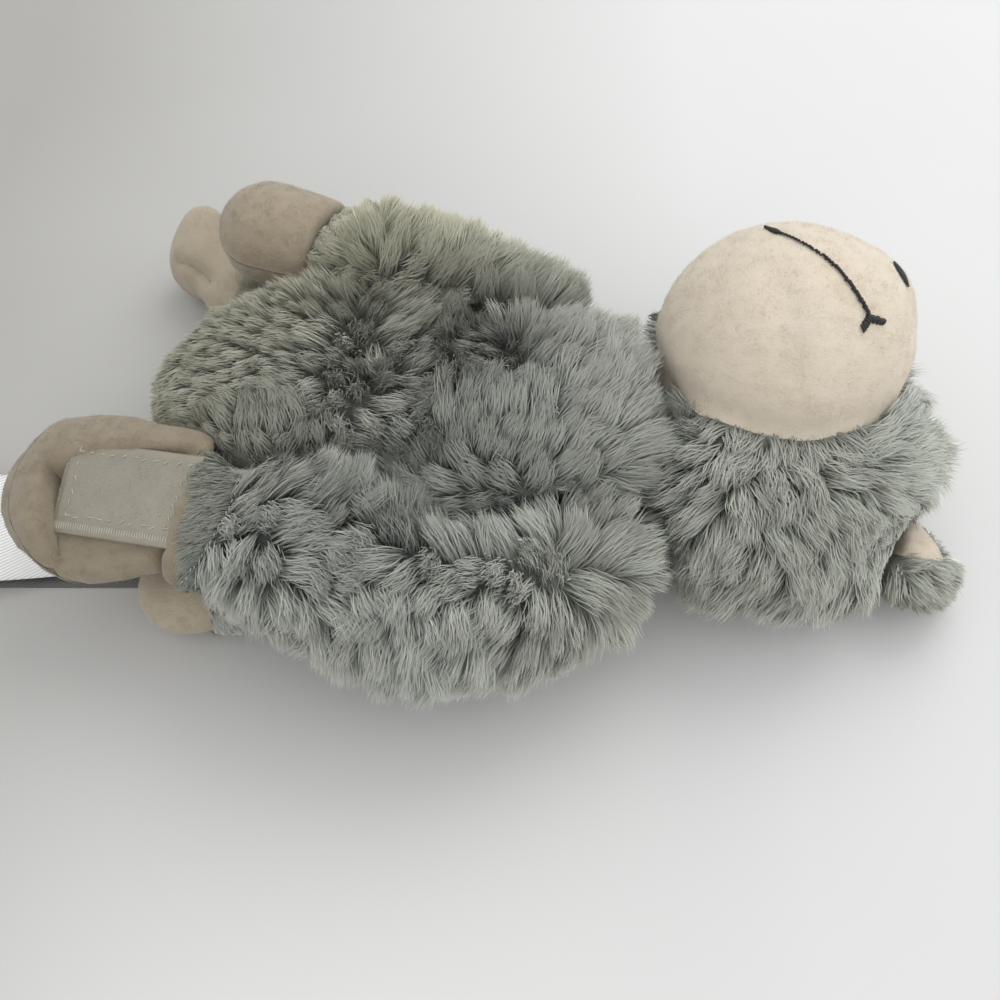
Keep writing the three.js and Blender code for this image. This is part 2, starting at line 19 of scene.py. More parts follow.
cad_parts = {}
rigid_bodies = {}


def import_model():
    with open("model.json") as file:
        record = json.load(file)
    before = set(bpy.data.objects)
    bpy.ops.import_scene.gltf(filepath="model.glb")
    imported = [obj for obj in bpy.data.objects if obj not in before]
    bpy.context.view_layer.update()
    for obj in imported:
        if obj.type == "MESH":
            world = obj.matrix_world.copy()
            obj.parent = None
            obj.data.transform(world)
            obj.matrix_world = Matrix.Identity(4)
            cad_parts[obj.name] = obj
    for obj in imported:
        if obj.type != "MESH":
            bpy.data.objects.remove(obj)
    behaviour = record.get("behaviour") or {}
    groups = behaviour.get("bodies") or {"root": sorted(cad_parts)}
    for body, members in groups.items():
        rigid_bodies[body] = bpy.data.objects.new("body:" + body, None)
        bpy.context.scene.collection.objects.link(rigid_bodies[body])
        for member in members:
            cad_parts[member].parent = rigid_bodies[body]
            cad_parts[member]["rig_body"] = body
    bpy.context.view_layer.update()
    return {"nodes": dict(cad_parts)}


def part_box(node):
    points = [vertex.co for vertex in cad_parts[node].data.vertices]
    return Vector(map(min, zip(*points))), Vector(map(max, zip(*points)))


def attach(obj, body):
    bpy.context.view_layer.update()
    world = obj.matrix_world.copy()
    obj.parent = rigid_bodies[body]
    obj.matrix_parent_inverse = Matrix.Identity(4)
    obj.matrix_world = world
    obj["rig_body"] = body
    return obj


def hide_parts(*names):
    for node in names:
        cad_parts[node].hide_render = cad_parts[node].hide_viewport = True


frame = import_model()
LOG = logging.getLogger("plush_sloth")
MM = 0.001
ACROSS = np.array((1.0, 0.0, 0.0))
UP = np.array((0.0, 0.0, 1.0))
JOIN_WITHIN = 1e-6


# Vector and mesh arithmetic


def unit(vectors: np.ndarray) -> np.ndarray:
    """Scale each row to length one.

    Args:
        vectors: Rows of vectors.

    Returns:
        Rows of the same directions.
    """
    return vectors / np.maximum(np.linalg.norm(vectors, axis=-1, keepdims=True), 1e-12)


def tangent(directions: np.ndarray, normals: np.ndarray) -> np.ndarray:
    """Lay directions flat on a surface.

    Args:
        directions: Rows of directions.
        normals: Rows of unit surface normals.

    Returns:
        Unit directions in the surface.
    """
    along = (directions * normals).sum(1, keepdims=True)
    return unit(directions - along * normals)


def smoothstep(low: float, high: float, values: np.ndarray) -> np.ndarray:
    """Ease values from nought at low to one at high."""
    share = np.clip((values - low) / (high - low), 0, 1)
    return share * share * (3 - 2 * share)


def held(moves: np.ndarray, most: float) -> np.ndarray:
    """Shorten each row to a length at most."""
    size = np.linalg.norm(moves, axis=1, keepdims=True)
    return moves * np.minimum(1, most / np.maximum(size, 1e-9))


def numbers(rows: str) -> list[tuple[float, ...]]:
    """Read rows of numbers, with commas inside a row and spaces between rows."""
    return [tuple(float(v) for v in row.split(",")) for row in rows.split()]


@dataclass
class Shell:
    """A mesh held as arrays, with faces of four corners or fewer.

    A face of three corners repeats its last one.
    """

    points: np.ndarray
    faces: np.ndarray

    @staticmethod
    def of(mesh: bpy.types.Mesh) -> "Shell":
        """Read a mesh whose faces have three or four corners.

        Args:
            mesh: The mesh.

        Returns:
            The same mesh as arrays.
        """
        points = np.empty(len(mesh.vertices) * 3)
        mesh.vertices.foreach_get("co", points)
        faces = np.array([(*f.vertices, f.vertices[-1])[:4] for f in mesh.polygons])
        return Shell(points.reshape(-1, 3), faces)

    def normals(self) -> np.ndarray:
        """Work out a normal for each point, from the faces round it.

        Returns:
            Unit vectors as rows.
        """
        a, b, c, d = (self.points[self.faces[:, i]] for i in range(4))
        turn = np.cross(c - a, d - b)
        sums = np.zeros_like(self.points)
        for corner in range(4):
            np.add.at(sums, self.faces[:, corner], turn)
        return unit(sums)

    def centres(self) -> np.ndarray:
        """Give the middle of each face."""
        return self.points[self.faces].mean(1)

    def area(self) -> np.ndarray:
        """Give the area of each face."""
        a, b, c, d = (self.points[self.faces[:, i]] for i in range(4))
        return np.linalg.norm(np.cross(c - a, d - b), axis=1) / 2

    def edges(self) -> np.ndarray:
        """List each face side once.

        Returns:
            Pairs of points, with how many faces share them in the third column.
        """
        pairs = np.concatenate([self.faces[:, [i, (i + 1) % 4]] for i in range(4)])
        pairs = pairs[pairs[:, 0] != pairs[:, 1]]
        pairs = np.sort(pairs, axis=1)
        found, counts = np.unique(pairs, axis=0, return_counts=True)
        return np.column_stack((found, counts))

    def smooth(self, values: np.ndarray, rounds: int, share: float = 0.5, only: np.ndarray | None = None) -> np.ndarray:
        """Even out values over neighbouring points.

        Args:
            values: One row of values for each point.
            rounds: How often it is done.
            share: How far a point goes towards its neighbours each time.
            only: The edges that count, or None for all.

        Returns:
            The evened values.
        """
        edges = self.edges() if only is None else only
        count = np.zeros(len(self.points))
        np.add.at(count, edges[:, 0], 1)
        np.add.at(count, edges[:, 1], 1)
        moved = values.astype(float).copy()
        flat = moved.reshape(len(moved), -1)
        for _ in range(rounds):
            sums = np.zeros_like(flat)
            np.add.at(sums, edges[:, 0], flat[edges[:, 1]])
            np.add.at(sums, edges[:, 1], flat[edges[:, 0]])
            ready = count > 0
            flat[ready] += share * (sums[ready] / count[ready, None] - flat[ready])
        return moved

    def tree(self) -> BVHTree:
        """Make a search tree of the faces."""
        return BVHTree.FromPolygons(self.points.tolist(), self.polygons())

    def polygons(self) -> list[list[int]]:
        """Give the corners of each face, none of them twice."""
        return [f if f[3] != f[2] else f[:3] for f in self.faces.tolist()]

    def part(self, chosen: np.ndarray) -> "Shell":
        """Cut out the chosen faces with the points that they use.

        Args:
            chosen: Which faces, as a mask.

        Returns:
            The part.
        """
        faces = self.faces[chosen]
        used, back = np.unique(faces, return_inverse=True)
        return Shell(self.points[used], back.reshape(faces.shape))

    def object(self, name: str) -> bpy.types.Object:
        """Make a smooth shaded object of this shell.

        Args:
            name: What the object is called.

        Returns:
            The object, in the scene.
        """
        mesh = bpy.data.meshes.new(name)
        mesh.from_pydata(self.points.tolist(), [], self.polygons())
        mesh.update()
        mesh.shade_smooth()
        return placed(bpy.data.objects.new(name, mesh))


def placed(thing: bpy.types.Object) -> bpy.types.Object:
    """Put an object in the scene and give it back."""
    bpy.context.scene.collection.objects.link(thing)
    return thing


def note(mesh: bpy.types.Mesh, **values: np.ndarray | list[float]) -> None:
    """Store values on a mesh's points.

    Args:
        mesh: The mesh.
        values: One number or one vector for each point, under each name.
    """
    for name, given in values.items():
        rows = np.asarray(given, np.float32)
        kind, key = ("FLOAT_VECTOR", "vector") if rows.ndim == 2 else ("FLOAT", "value")
        mesh.attributes.new(name, kind, "POINT").data.foreach_set(key, rows.ravel())


def corners_of(node: str) -> np.ndarray:
    """Give the corners of a CAD node as rows."""
    return np.array([v.co for v in frame["nodes"][node].data.vertices])


def plain_copy(thing: bpy.types.Object, name: str) -> bpy.types.Mesh:
    """Turn an object with its modifiers into a plain mesh.

    Args:
        thing: The object as it stands.
        name: What the mesh is called.

    Returns:
        The mesh with the modifiers in it.
    """
    graph = bpy.context.evaluated_depsgraph_get()
    mesh = bpy.data.meshes.new_from_object(thing.evaluated_get(graph), preserve_all_data_layers=True, depsgraph=graph)
    mesh.name = name
    return mesh


# The photograph's point of view


@dataclass(frozen=True)
class Viewpoint:
    """Where the photograph was taken from, for a picture 1000 wide and high."""

    place: tuple[float, float, float] = (0.0, -0.1296, 0.1996)
    tilt: float = math.radians(33)
    reach: float = 1000.0
    middle: float = 500.0
    homing: int = 60
    grazing: float = 0.03

    def axes(self) -> tuple[np.ndarray, np.ndarray]:
        """Give the picture's upward axis and the axis back to the eye."""
        c, s = math.cos(self.tilt), math.sin(self.tilt)
        return np.array((0, c, s)), np.array((0, -s, c))

    def picture(self, points: np.ndarray) -> np.ndarray:
        """Work out where points come in the picture.

        Args:
            points: Places as rows.

        Returns:
            Across and down the picture, as rows.
        """
        up, back = self.axes()
        away = points - np.array(self.place)
        depth = -(away @ back)
        return np.column_stack(
            (self.middle + self.reach * away[:, 0] / depth, self.middle - self.reach * (away @ up) / depth)
        )

    def ray(self, x: float, y: float) -> np.ndarray:
        """Give the direction from the eye through a place in the picture."""
        up, back = self.axes()
        return unit(ACROSS * (x - self.middle) / self.reach - up * (y - self.middle) / self.reach - back)

    def on(self, tree: BVHTree, x: float, y: float) -> tuple[np.ndarray, np.ndarray] | None:
        """Find the place and normal of the surface seen at a place in the picture."""
        place, normal, _, _ = tree.ray_cast(Vector(self.place), Vector(self.ray(x, y)))
        return None if place is None else (np.array(place), np.array(normal))

    def land(self, tree: BVHTree, x: float, y: float, home: tuple[float, float]) -> tuple[np.ndarray, np.ndarray]:
        """Find the surface seen at a place in the picture, going towards home until there is one.

        Args:
            tree: The surface.
            x: The place across the picture.
            y: The place down the picture.
            home: A place that lies on the surface.

        Returns:
            The point and its normal.
        """
        for step in range(self.homing):
            share = step / self.homing
            found = self.on(tree, x + (home[0] - x) * share, y + (home[1] - y) * share)
            if found is not None and found[1] @ unit(np.array(self.place) - found[0]) > self.grazing:
                return found
        return self.on(tree, *home)

    def facing(self, points: np.ndarray, normals: np.ndarray) -> np.ndarray:
        """Give how squarely surfaces face the eye, from minus one to one."""
        return (normals * unit(np.array(self.place) - points)).sum(1)

    def camera(self) -> bpy.types.Object:
        """Make the camera.

        Returns:
            The camera, in the scene.
        """
        data = bpy.data.cameras.new("camera")
        data.lens = data.sensor_width = 36
        data.clip_start, data.clip_end = 0.01, 20
        camera = placed(bpy.data.objects.new("camera", data))
        camera.location, camera.rotation_euler = self.place, (self.tilt, 0, 0)
        bpy.context.scene.camera = camera
        return camera


VIEW = Viewpoint()


@dataclass(frozen=True)
class Stroke:
    """One stroke of the comb, at a place in the picture and towards another."""

    x: float
    y: float
    right: float
    down: float


@dataclass(frozen=True)
class Trim:
    """A place in the picture round which the pile is cut or grown to a share of its length."""

    x: float
    y: float
    radius: float
    share: float


def trims(rows: str) -> tuple[Trim, ...]:
    """Read trims from rows of x, y, radius and share."""
    return tuple(Trim(*row) for row in numbers(rows))


def strokes(rows: str) -> tuple[Stroke, ...]:
    """Read comb strokes from rows of x, y, right and down."""
    return tuple(Stroke(*row) for row in numbers(rows))


# Node trees


class Graph:
    """A node tree in the making, with short calls for its nodes."""

    def __init__(self, tree: bpy.types.NodeTree) -> None:
        """Start on an empty tree."""
        self.tree = tree
        self.tree.nodes.clear()

    def socket(self, name: str, kind: str, value: object = None, out: bool = False) -> str:
        """Add a named input or output to the tree.

        Args:
            name: What it is called.
            kind: The socket type.
            value: Its default, if it has one.
            out: Whether it is an output.

        Returns:
            The socket's identifier.
        """
        item = self.tree.interface.new_socket(name=name, in_out="OUTPUT" if out else "INPUT", socket_type=kind)
        if value is not None:
            item.default_value = value
        return item.identifier

    def add(self, kind: str, given: dict | None = None, **settings: object) -> bpy.types.Node:
        """Add a node, set its options and feed its inputs.

        Args:
            kind: The node's type.
            given: What goes into each input, by name or number.
            settings: The node's options.

        Returns:
            The node.
        """
        node = self.tree.nodes.new(kind)
        for name, value in settings.items():
            setattr(node, name, value)
        for key, value in (given or {}).items():
            target = node.inputs[key] if isinstance(key, int) else next(
                s for s in node.inputs if s.name == key and s.enabled
            )
            self.feed(target, value)
        return node

    def feed(self, target: bpy.types.NodeSocket, value: object) -> None:
        """Link a socket to an input, or set the input to a plain value.

        Args:
            target: The input.
            value: A socket, a node or a plain value.
        """
        if isinstance(value, bpy.types.NodeSocket):
            self.tree.links.new(value, target)
        elif isinstance(value, bpy.types.Node):
            self.tree.links.new(first(value), target)
        else:
            target.default_value = value

    def math(self, rule: str, *terms: object) -> bpy.types.NodeSocket:
        """Work out a rule on plain numbers."""
        return self.add("ShaderNodeMath", dict(enumerate(terms)), operation=rule).outputs[0]

    def times(self, a: object, b: object) -> bpy.types.NodeSocket:
        """Multiply two plain numbers."""
        return self.math("MULTIPLY", a, b)

    def vector(self, rule: str, *terms: object) -> bpy.types.NodeSocket:
        """Work out a rule on vectors."""
        node = self.add("ShaderNodeVectorMath", dict(enumerate(terms)), operation=rule)
        return node.outputs["Value" if rule in ("DOT_PRODUCT", "LENGTH", "DISTANCE") else "Vector"]

    def blend(self, share: object, a: object, b: object, rule: str = "MIX") -> bpy.types.NodeSocket:
        """Go from colour a to colour b by a share."""
        node = self.add("ShaderNodeMix", {"Factor": share, "A": a, "B": b}, data_type="RGBA", blend_type=rule)
        return node.outputs[2]

    def ramp(self, value: object, low: float, high: float, start: float = 0.0, end: float = 1.0,
             **settings: object) -> bpy.types.NodeSocket:
        """Go from start to end while a value goes from low to high."""
        limits = {"Value": value, "From Min": low, "From Max": high, "To Min": start, "To Max": end}
        return first(self.add("ShaderNodeMapRange", limits, **settings))

    def noise(self, vector: object, size: float, detail: float, **given: float) -> bpy.types.NodeSocket:
        """Give soft noise of so many waves a metre."""
        named = {"Vector": vector, "Scale": size, "Detail": detail, **given}
        return self.add("ShaderNodeTexNoise", named).outputs[0]

    def place(self) -> bpy.types.NodeSocket:
        """Give the place in the object's own frame."""
        return self.add("ShaderNodeTexCoord").outputs["Object"]

    def scaled(self, vector: object, by: object) -> bpy.types.NodeSocket:
        """Multiply a vector by a number."""
        return self.add("ShaderNodeVectorMath", {0: vector, "Scale": by}, operation="SCALE").outputs["Vector"]

    def sum(self, *vectors: object) -> bpy.types.NodeSocket:
        """Add several vectors.

        Args:
            vectors: The vectors.

        Returns:
            Their sum.
        """
        total = vectors[0]
        for vector in vectors[1:]:
            total = self.vector("ADD", total, vector)
        return total

    def lerp(self, a: object, b: object, share: object) -> bpy.types.NodeSocket:
        """Go from vector a towards vector b by a share."""
        return self.vector("ADD", a, self.scaled(self.vector("SUBTRACT", b, a), share))

    def read(self, name: str, kind: str = "FLOAT_VECTOR") -> bpy.types.NodeSocket:
        """Read a named attribute in a geometry tree."""
        return first(self.add("GeometryNodeInputNamedAttribute", {"Name": name}, data_type=kind))

    def keep(self, geometry: object, name: str, value: object, kind: str = "FLOAT_VECTOR") -> bpy.types.NodeSocket:
        """Store a value on the points of a geometry under a name.

        Args:
            geometry: The geometry.
            name: The name.
            value: The value.
            kind: The value's type.

        Returns:
            The geometry with the value.
        """
        node = self.add(
            "GeometryNodeStoreNamedAttribute",
            {"Geometry": geometry, "Name": name, "Value": value}, data_type=kind, domain="POINT",
        )
        return node.outputs[0]

    def pick(self, geometry: object, value: object, index: object, kind: str = "FLOAT_VECTOR") -> bpy.types.NodeSocket:
        """Read a value at one point of another geometry.

        Args:
            geometry: The other geometry.
            value: The value.
            index: The point's number.
            kind: The value's type.

        Returns:
            The value there.
        """
        node = self.add(
            "GeometryNodeSampleIndex",
            {"Geometry": geometry, "Value": value, "Index": index}, data_type=kind, domain="POINT",
        )
        return first(node)

    def chance(self, vector: object) -> bpy.types.NodeSocket:
        """Give three random numbers, each from minus a half to a half, for a vector."""
        noise = self.add("ShaderNodeTexWhiteNoise", {"Vector": vector}, noise_dimensions="3D")
        return self.vector("SUBTRACT", noise.outputs["Color"], (0.5, 0.5, 0.5))

    def split(self, vector: object) -> list[bpy.types.NodeSocket]:
        """Give the three parts of a vector."""
        return list(self.add("ShaderNodeSeparateXYZ", {0: vector}).outputs)

    def joined(self, x: object, y: object, z: object) -> bpy.types.NodeSocket:
        """Make a vector of three numbers."""
        return self.add("ShaderNodeCombineXYZ", {0: x, 1: y, 2: z}).outputs[0]


def first(node: bpy.types.Node) -> bpy.types.NodeSocket:
    """Give a node's first output that is in use."""
    return next(s for s in node.outputs if s.enabled)


# Finishes


def rgb(code: str) -> tuple[float, float, float, float]:
    """Turn a six figure colour into linear light.

    Args:
        code: Red, green and blue as hexadecimal pairs.

    Returns:
        The colour with an alpha of one.
    """
    parts = [int(code[i : i + 2], 16) / 255 for i in (0, 2, 4)]
    return (*(p / 12.92 if p <= 0.04045 else ((p + 0.055) / 1.055) ** 2.4 for p in parts), 1.0)


def mottle_group() -> bpy.types.NodeTree:
    """Build the shared effect of uneven cloth: a soft change of shade and a fine raised grain.

    Returns:
        The shader node group, with the shade and the height as outputs.
    """
    tree = bpy.data.node_groups.new("cloth_mottle", "ShaderNodeTree")
    g = Graph(tree)
    g.socket("Colour", "NodeSocketColor", (0.5, 0.5, 0.5, 1))
    g.socket("Patch Size", "NodeSocketFloat", 60.0)
    g.socket("Grain Size", "NodeSocketFloat", 1500.0)
    g.socket("Unevenness", "NodeSocketFloat", 0.1)
    g.socket("Shaded", "NodeSocketColor", out=True)
    g.socket("Height", "NodeSocketFloat", out=True)
    given = g.add("NodeGroupInput")
    place = g.place()
    patch = g.noise(place, given.outputs["Patch Size"], 3.0)
    grain = g.noise(place, given.outputs["Grain Size"], 4.0, Roughness=0.7)
    both = g.math("ADD", g.times(patch, 1.2), g.times(grain, 0.8))
    shade = g.math("MULTIPLY_ADD", g.math("SUBTRACT", both, 1.0), given.outputs["Unevenness"], 1.0)
    g.add("NodeGroupOutput", {"Shaded": g.scaled(given.outputs["Colour"], shade), "Height": grain})
    return tree


class Finish:
    """Base of all finishes, which each make one material and keep it."""

    made: dict[str, bpy.types.Material] = {}
    groups: dict[str, bpy.types.NodeTree] = {}

    def begin(self, name: str) -> tuple[bpy.types.Material, Graph, bpy.types.Node]:
        """Start a material.

        Args:
            name: What the material is called.

        Returns:
            The material, its graph and its shader.
        """
        material = bpy.data.materials.new(name)
        material.use_nodes = True
        g = Graph(material.node_tree)
        shader = g.add("ShaderNodeBsdfPrincipled")
        g.add("ShaderNodeOutputMaterial", {"Surface": shader.outputs[0]})
        return material, g, shader

    def mottle(self, g: Graph, colour: object, patch: float, grain: float, uneven: float) -> bpy.types.Node:
        """Place the shared cloth effect in a material.

        Args:
            g: The material's graph.
            colour: The cloth's colour.
            patch: How many soft patches there are in a metre.
            grain: How many grains there are in a metre.
            uneven: How strongly the shade changes.

        Returns:
            The placed effect.
        """
        if "mottle" not in self.groups:
            self.groups["mottle"] = mottle_group()
        node = g.tree.nodes.new("ShaderNodeGroup")
        node.node_tree = self.groups["mottle"]
        for name, value in (("Colour", colour), ("Patch Size", patch), ("Grain Size", grain), ("Unevenness", uneven)):
            g.feed(node.inputs[name], value)
        return node

    def weave(self, g: Graph, shader: bpy.types.Node, cloth: bpy.types.Node, relief: tuple[float, float],
              levels: dict[str, float], height: bpy.types.NodeSocket | None = None) -> None:
        """Finish a cloth shader.

        Args:
            g: The material's graph.
            shader: The shader.
            cloth: The placed cloth effect.
            relief: How strongly the grain shows, and how high it stands.
            levels: The shader's plain inputs.
            height: What stands up, or None for the effect's own grain.
        """
        g.feed(shader.inputs["Base Color"], cloth.outputs["Shaded"])
        strength, distance = relief
        raised = cloth.outputs["Height"] if height is None else height
        bump = g.add("ShaderNodeBump", {"Height": raised, "Strength": strength, "Distance": distance})
        g.feed(shader.inputs["Normal"], bump)
        self.set_levels(shader, levels)

    @staticmethod
    def set_levels(shader: bpy.types.Node, levels: dict[str, float]) -> None:
        """Set plain inputs of a shader."""
        for name, value in levels.items():
            shader.inputs[name].default_value = value

    def material(self) -> bpy.types.Material:
        """Give the material, making it the first time.

        Returns:
            The material.
        """
        key = repr(self)
        if key not in self.made:
            self.made[key] = self.make()
        return self.made[key]

    def make(self) -> bpy.types.Material:
        """Make the material.

        Returns:
            The material.
        """
        raise NotImplementedError


@dataclass(frozen=True)
class PaintedLightPatch:
    """A round place on the toy where the fur is lightened as painted light or darkened as painted shade."""

    place: tuple[float, float, float]
    reach: float
    share: float


@dataclass(frozen=True)
class FurFinish(Finish):
    """Long crimped plush, darkened towards the roots as painted shade deep in the pile and silvery towards the tips."""

    name: str = "silver_plush"
    # The root colour is painted shade deep in the pile; the bare cloth under the pile takes it too.
    root: str = "7d8077"
    body: str = "9b9e95"
    tip: str = "b2b4ab"
    warm: str = "9a9580"
    # A warm tint that grows towards the rump and the far side.
    rump_tint: str = "fff9e8"
    spread: float = 0.13
    glints: float = 0.985
    # Painted light and shade: the rump, the belly's valley and the near arm are darkened as painted shade, and the far
    # arm and the hood's right side are lightened as painted light.
    painted_light_patches: tuple[PaintedLightPatch, ...] = (
        PaintedLightPatch((-0.068, 0.020, 0.035), 0.042, 0.78),
        PaintedLightPatch((-0.004, 0.010, 0.030), 0.034, 0.72),
        PaintedLightPatch((-0.013, 0.050, 0.040), 0.035, 1.2),
        PaintedLightPatch((0.092, -0.015, 0.030), 0.045, 1.2),
        PaintedLightPatch((-0.040, -0.024, 0.045), 0.030, 0.9),
    )
    slot: str = "fur"

    def make(self) -> bpy.types.Material:
        """Make the material.

        Returns:
            The material.
        """
        material, g, shader = self.begin(self.name)
        along = g.add("ShaderNodeAttribute", attribute_name="along").outputs["Fac"]
        tone = g.add("ShaderNodeAttribute", attribute_name="tone").outputs["Fac"]
        # Painted shade: dark at the base of each blade, paler towards its tip.
        ramp = g.add("ShaderNodeValToRGB", {"Fac": along})
        stops = ramp.color_ramp.elements
        stops[0].color, stops[1].color = rgb(self.root), rgb(self.tip)
        middle = stops.new(0.55)
        middle.color = rgb(self.body)
        cloth = self.mottle(g, ramp.outputs["Color"], 38.0, 900.0, 0.25)
        place = g.place()
        warmth = g.times(g.ramp(g.noise(place, 14.0, 1.0), 0.45, 0.7), 0.3)
        warm = g.blend(warmth, cloth.outputs["Shaded"], rgb(self.warm), "SOFT_LIGHT")
        # Warmer towards the rump and the far side.
        rump_tint_share = g.ramp(g.vector("DOT_PRODUCT", place, (-0.6, 0.8, 0.0)), 0.0, 0.05)
        tinted = g.blend(rump_tint_share, warm, rgb(self.rump_tint), "MULTIPLY")
        shade = g.ramp(tone, 0.0, 1.0, 1 - self.spread, 1 + self.spread)
        lit = g.math("ADD", shade, g.times(g.math("GREATER_THAN", tone, self.glints), 0.8))
        # Painted light and shade: each patch lightens or darkens the fur round its place.
        for patch in self.painted_light_patches:
            away = g.vector("DISTANCE", place, patch.place)
            lit = g.times(lit, g.ramp(away, 0.3 * patch.reach, patch.reach, patch.share, 1.0))
        g.feed(shader.inputs["Base Color"], g.scaled(tinted, lit))
        g.feed(shader.inputs["Roughness"], g.math("MULTIPLY_ADD", tone, -0.2, 0.68))
        self.set_levels(shader, {"Specular IOR Level": 0.35, "Sheen Weight": 0.25, "Sheen Roughness": 0.5})
        return material


@dataclass(frozen=True)
class VelourFinish(Finish):
    """Short napped velour, with faint paler streaks of its brushed nap painted in as sheen."""

    name: str = "cream_velour"
    colour: str = "d2c6b3"
    blush: str = "cfbca6"
    # The colour of the paler streaks: painted sheen of the brushed nap.
    light: str = "dcd5c7"
    slot: str = "velour"

    def make(self) -> bpy.types.Material:
        """Make the material.

        Returns:
            The material.
        """
        material, g, shader = self.begin(self.name)
        place = g.place()
        blush = g.ramp(g.noise(place, 26.0, 2.0, Distortion=0.6), 0.5, 0.75, 0.0, 0.4)
        warm = g.blend(blush, rgb(self.colour), rgb(self.blush))
        # Painted sheen: stretched noise lays paler streaks along the brushed nap.
        streak = g.add("ShaderNodeMapping", {"Vector": place, "Rotation": (0.3, 0.5, 0.9), "Scale": (1.0, 4.0, 1.0)})
        brushed = g.ramp(g.noise(streak, 70.0, 3.0), 0.52, 0.8, 0.0, 0.35)
        cloth = self.mottle(g, g.blend(brushed, warm, rgb(self.light)), 120.0, 2600.0, 0.12)
        self.weave(g, shader, cloth, (0.5, 0.5 * MM), {
            "Roughness": 0.9, "Specular IOR Level": 0.2, "Sheen Weight": 0.3, "Sheen Roughness": 0.45})
        return material


@dataclass(frozen=True)
class WaddingFinish(Finish):
    """Grey filling, matted from reclaimed fibre."""

    name: str = "matted_wadding"
    colour: str = "8b8b83"
    slot: str = "stuffing"

    def make(self) -> bpy.types.Material:
        """Make the material.

        Returns:
            The material.
        """
        material, g, shader = self.begin(self.name)
        cloth = self.mottle(g, rgb(self.colour), 90.0, 700.0, 0.25)
        self.weave(g, shader, cloth, (0.8, 1.0 * MM), {"Roughness": 0.95})
        return material


@dataclass(frozen=True)
class ThreadFinish(Finish):
    """Twisted sewing or embroidery thread."""

    name: str = "black_thread"
    colour: str = "0d0d0d"
    rough: float = 0.5
    slot: str = "thread"

    def make(self) -> bpy.types.Material:
        """Make the material.

        Returns:
            The material.
        """
        material, g, shader = self.begin(self.name)
        cloth = self.mottle(g, rgb(self.colour), 400.0, 3500.0, 0.5)
        self.weave(g, shader, cloth, (0.4, 0.2 * MM), {"Roughness": self.rough, "Sheen Weight": 0.05})
        return material


@dataclass(frozen=True)
class TapeFinish(Finish):
    """Milky nylon of the hook and loop tape."""

    name: str = "milky_nylon"
    colour: str = "8a8475"
    rough: float = 0.38
    slot: str = "fastener_tape"

    def make(self) -> bpy.types.Material:
        """Make the material.

        Returns:
            The material.
        """
        material, g, shader = self.begin(self.name)
        cloth = self.mottle(g, rgb(self.colour), 200.0, 2200.0, 0.25)
        self.weave(g, shader, cloth, (0.5, 0.3 * MM), {
            "Roughness": self.rough, "Coat Weight": 0.25, "Coat Roughness": 0.25})
        return material


@dataclass(frozen=True)
class SatinFinish(Finish):
    """Label satin with a fine diagonal twill."""

    name: str = "white_satin"
    low: str = "c9c9c6"
    high: str = "efefed"
    slot: str = "satin"

    def make(self) -> bpy.types.Material:
        """Make the material.

        Returns:
            The material.
        """
        material, g, shader = self.begin(self.name)
        turned = g.add("ShaderNodeMapping", {"Vector": g.place(), "Rotation": (0, 0, math.radians(52))})
        wave = g.add("ShaderNodeTexWave", {"Vector": turned, "Scale": 420.0, "Distortion": 0.4, "Detail": 1.0})
        twill = wave.outputs["Fac"]
        cloth = self.mottle(g, g.blend(twill, rgb(self.low), rgb(self.high)), 60.0, 3000.0, 0.08)
        self.weave(g, shader, cloth, (0.5, 0.2 * MM), {"Roughness": 0.4, "Sheen Weight": 0.2}, height=twill)
        return material


@dataclass(frozen=True)
class TableFinish(Finish):
    """Pale table under soft light, darkened as painted shade to the left beside the toy's feet, and lightened as
    painted light in front of it where its shadow falls.
    """

    name: str = "pale_table"
    shaded_left: str = "9b9994"
    pale: str = "cacac8"
    fleck: str = "f0f0ee"
    front: str = "f2f2f0"

    def make(self) -> bpy.types.Material:
        """Make the material.

        Returns:
            The material.
        """
        material, g, shader = self.begin(self.name)
        place = g.place()
        # Painted shade: the table darkens towards the left.
        side = g.blend(g.ramp(g.split(place)[0], -0.15, 0.06), rgb(self.shaded_left), rgb(self.pale))
        flecked = g.blend(g.times(g.noise(place, 9.0, 3.0), 0.12), side, rgb(self.fleck))
        # Painted light: paler in front of the toy, over the shadow it casts.
        away = g.vector("DISTANCE", place, (-0.045, -0.125, 0.0))
        near = g.ramp(away, 0.0, 0.12, 0.35, 0.0, interpolation_type="SMOOTHSTEP")
        g.feed(shader.inputs["Base Color"], g.blend(near, flecked, rgb(self.front)))
        self.set_levels(shader, {"Roughness": 0.75})
        return material


PLUSH = FurFinish()
# A darker copy of the plush: painted shade for the near cuff. The far cuff below keeps the plain plush colours.
SHADED_CUFF_PLUSH = FurFinish(name="cuff_plush", root="5c5f58", body="797c73", tip="90938a", warm="7c796a", slot="cuff_fur")
VELOUR = VelourFinish()
PAW_VELOUR = VelourFinish(name="sand_velour", colour="a79b87", blush="9f8c78", light="b4a996")
PALE_CUFF = FurFinish(name="pale_cuff_plush", slot="cuff_fur")
# A darker copy of the sand velour: painted shade for the far paw.
SHADED_FAR_VELOUR = VelourFinish(name="dull_sand_velour", colour="9a8e7a", blush="917e6a", light="ada28e")
# A darker copy of the sand velour: painted shade for the near palm and the near wrist.
SHADED_PALM_VELOUR = VelourFinish(name="worn_sand_velour", colour="8b806d", blush="857562", light="979080")
WADDING = WaddingFinish()
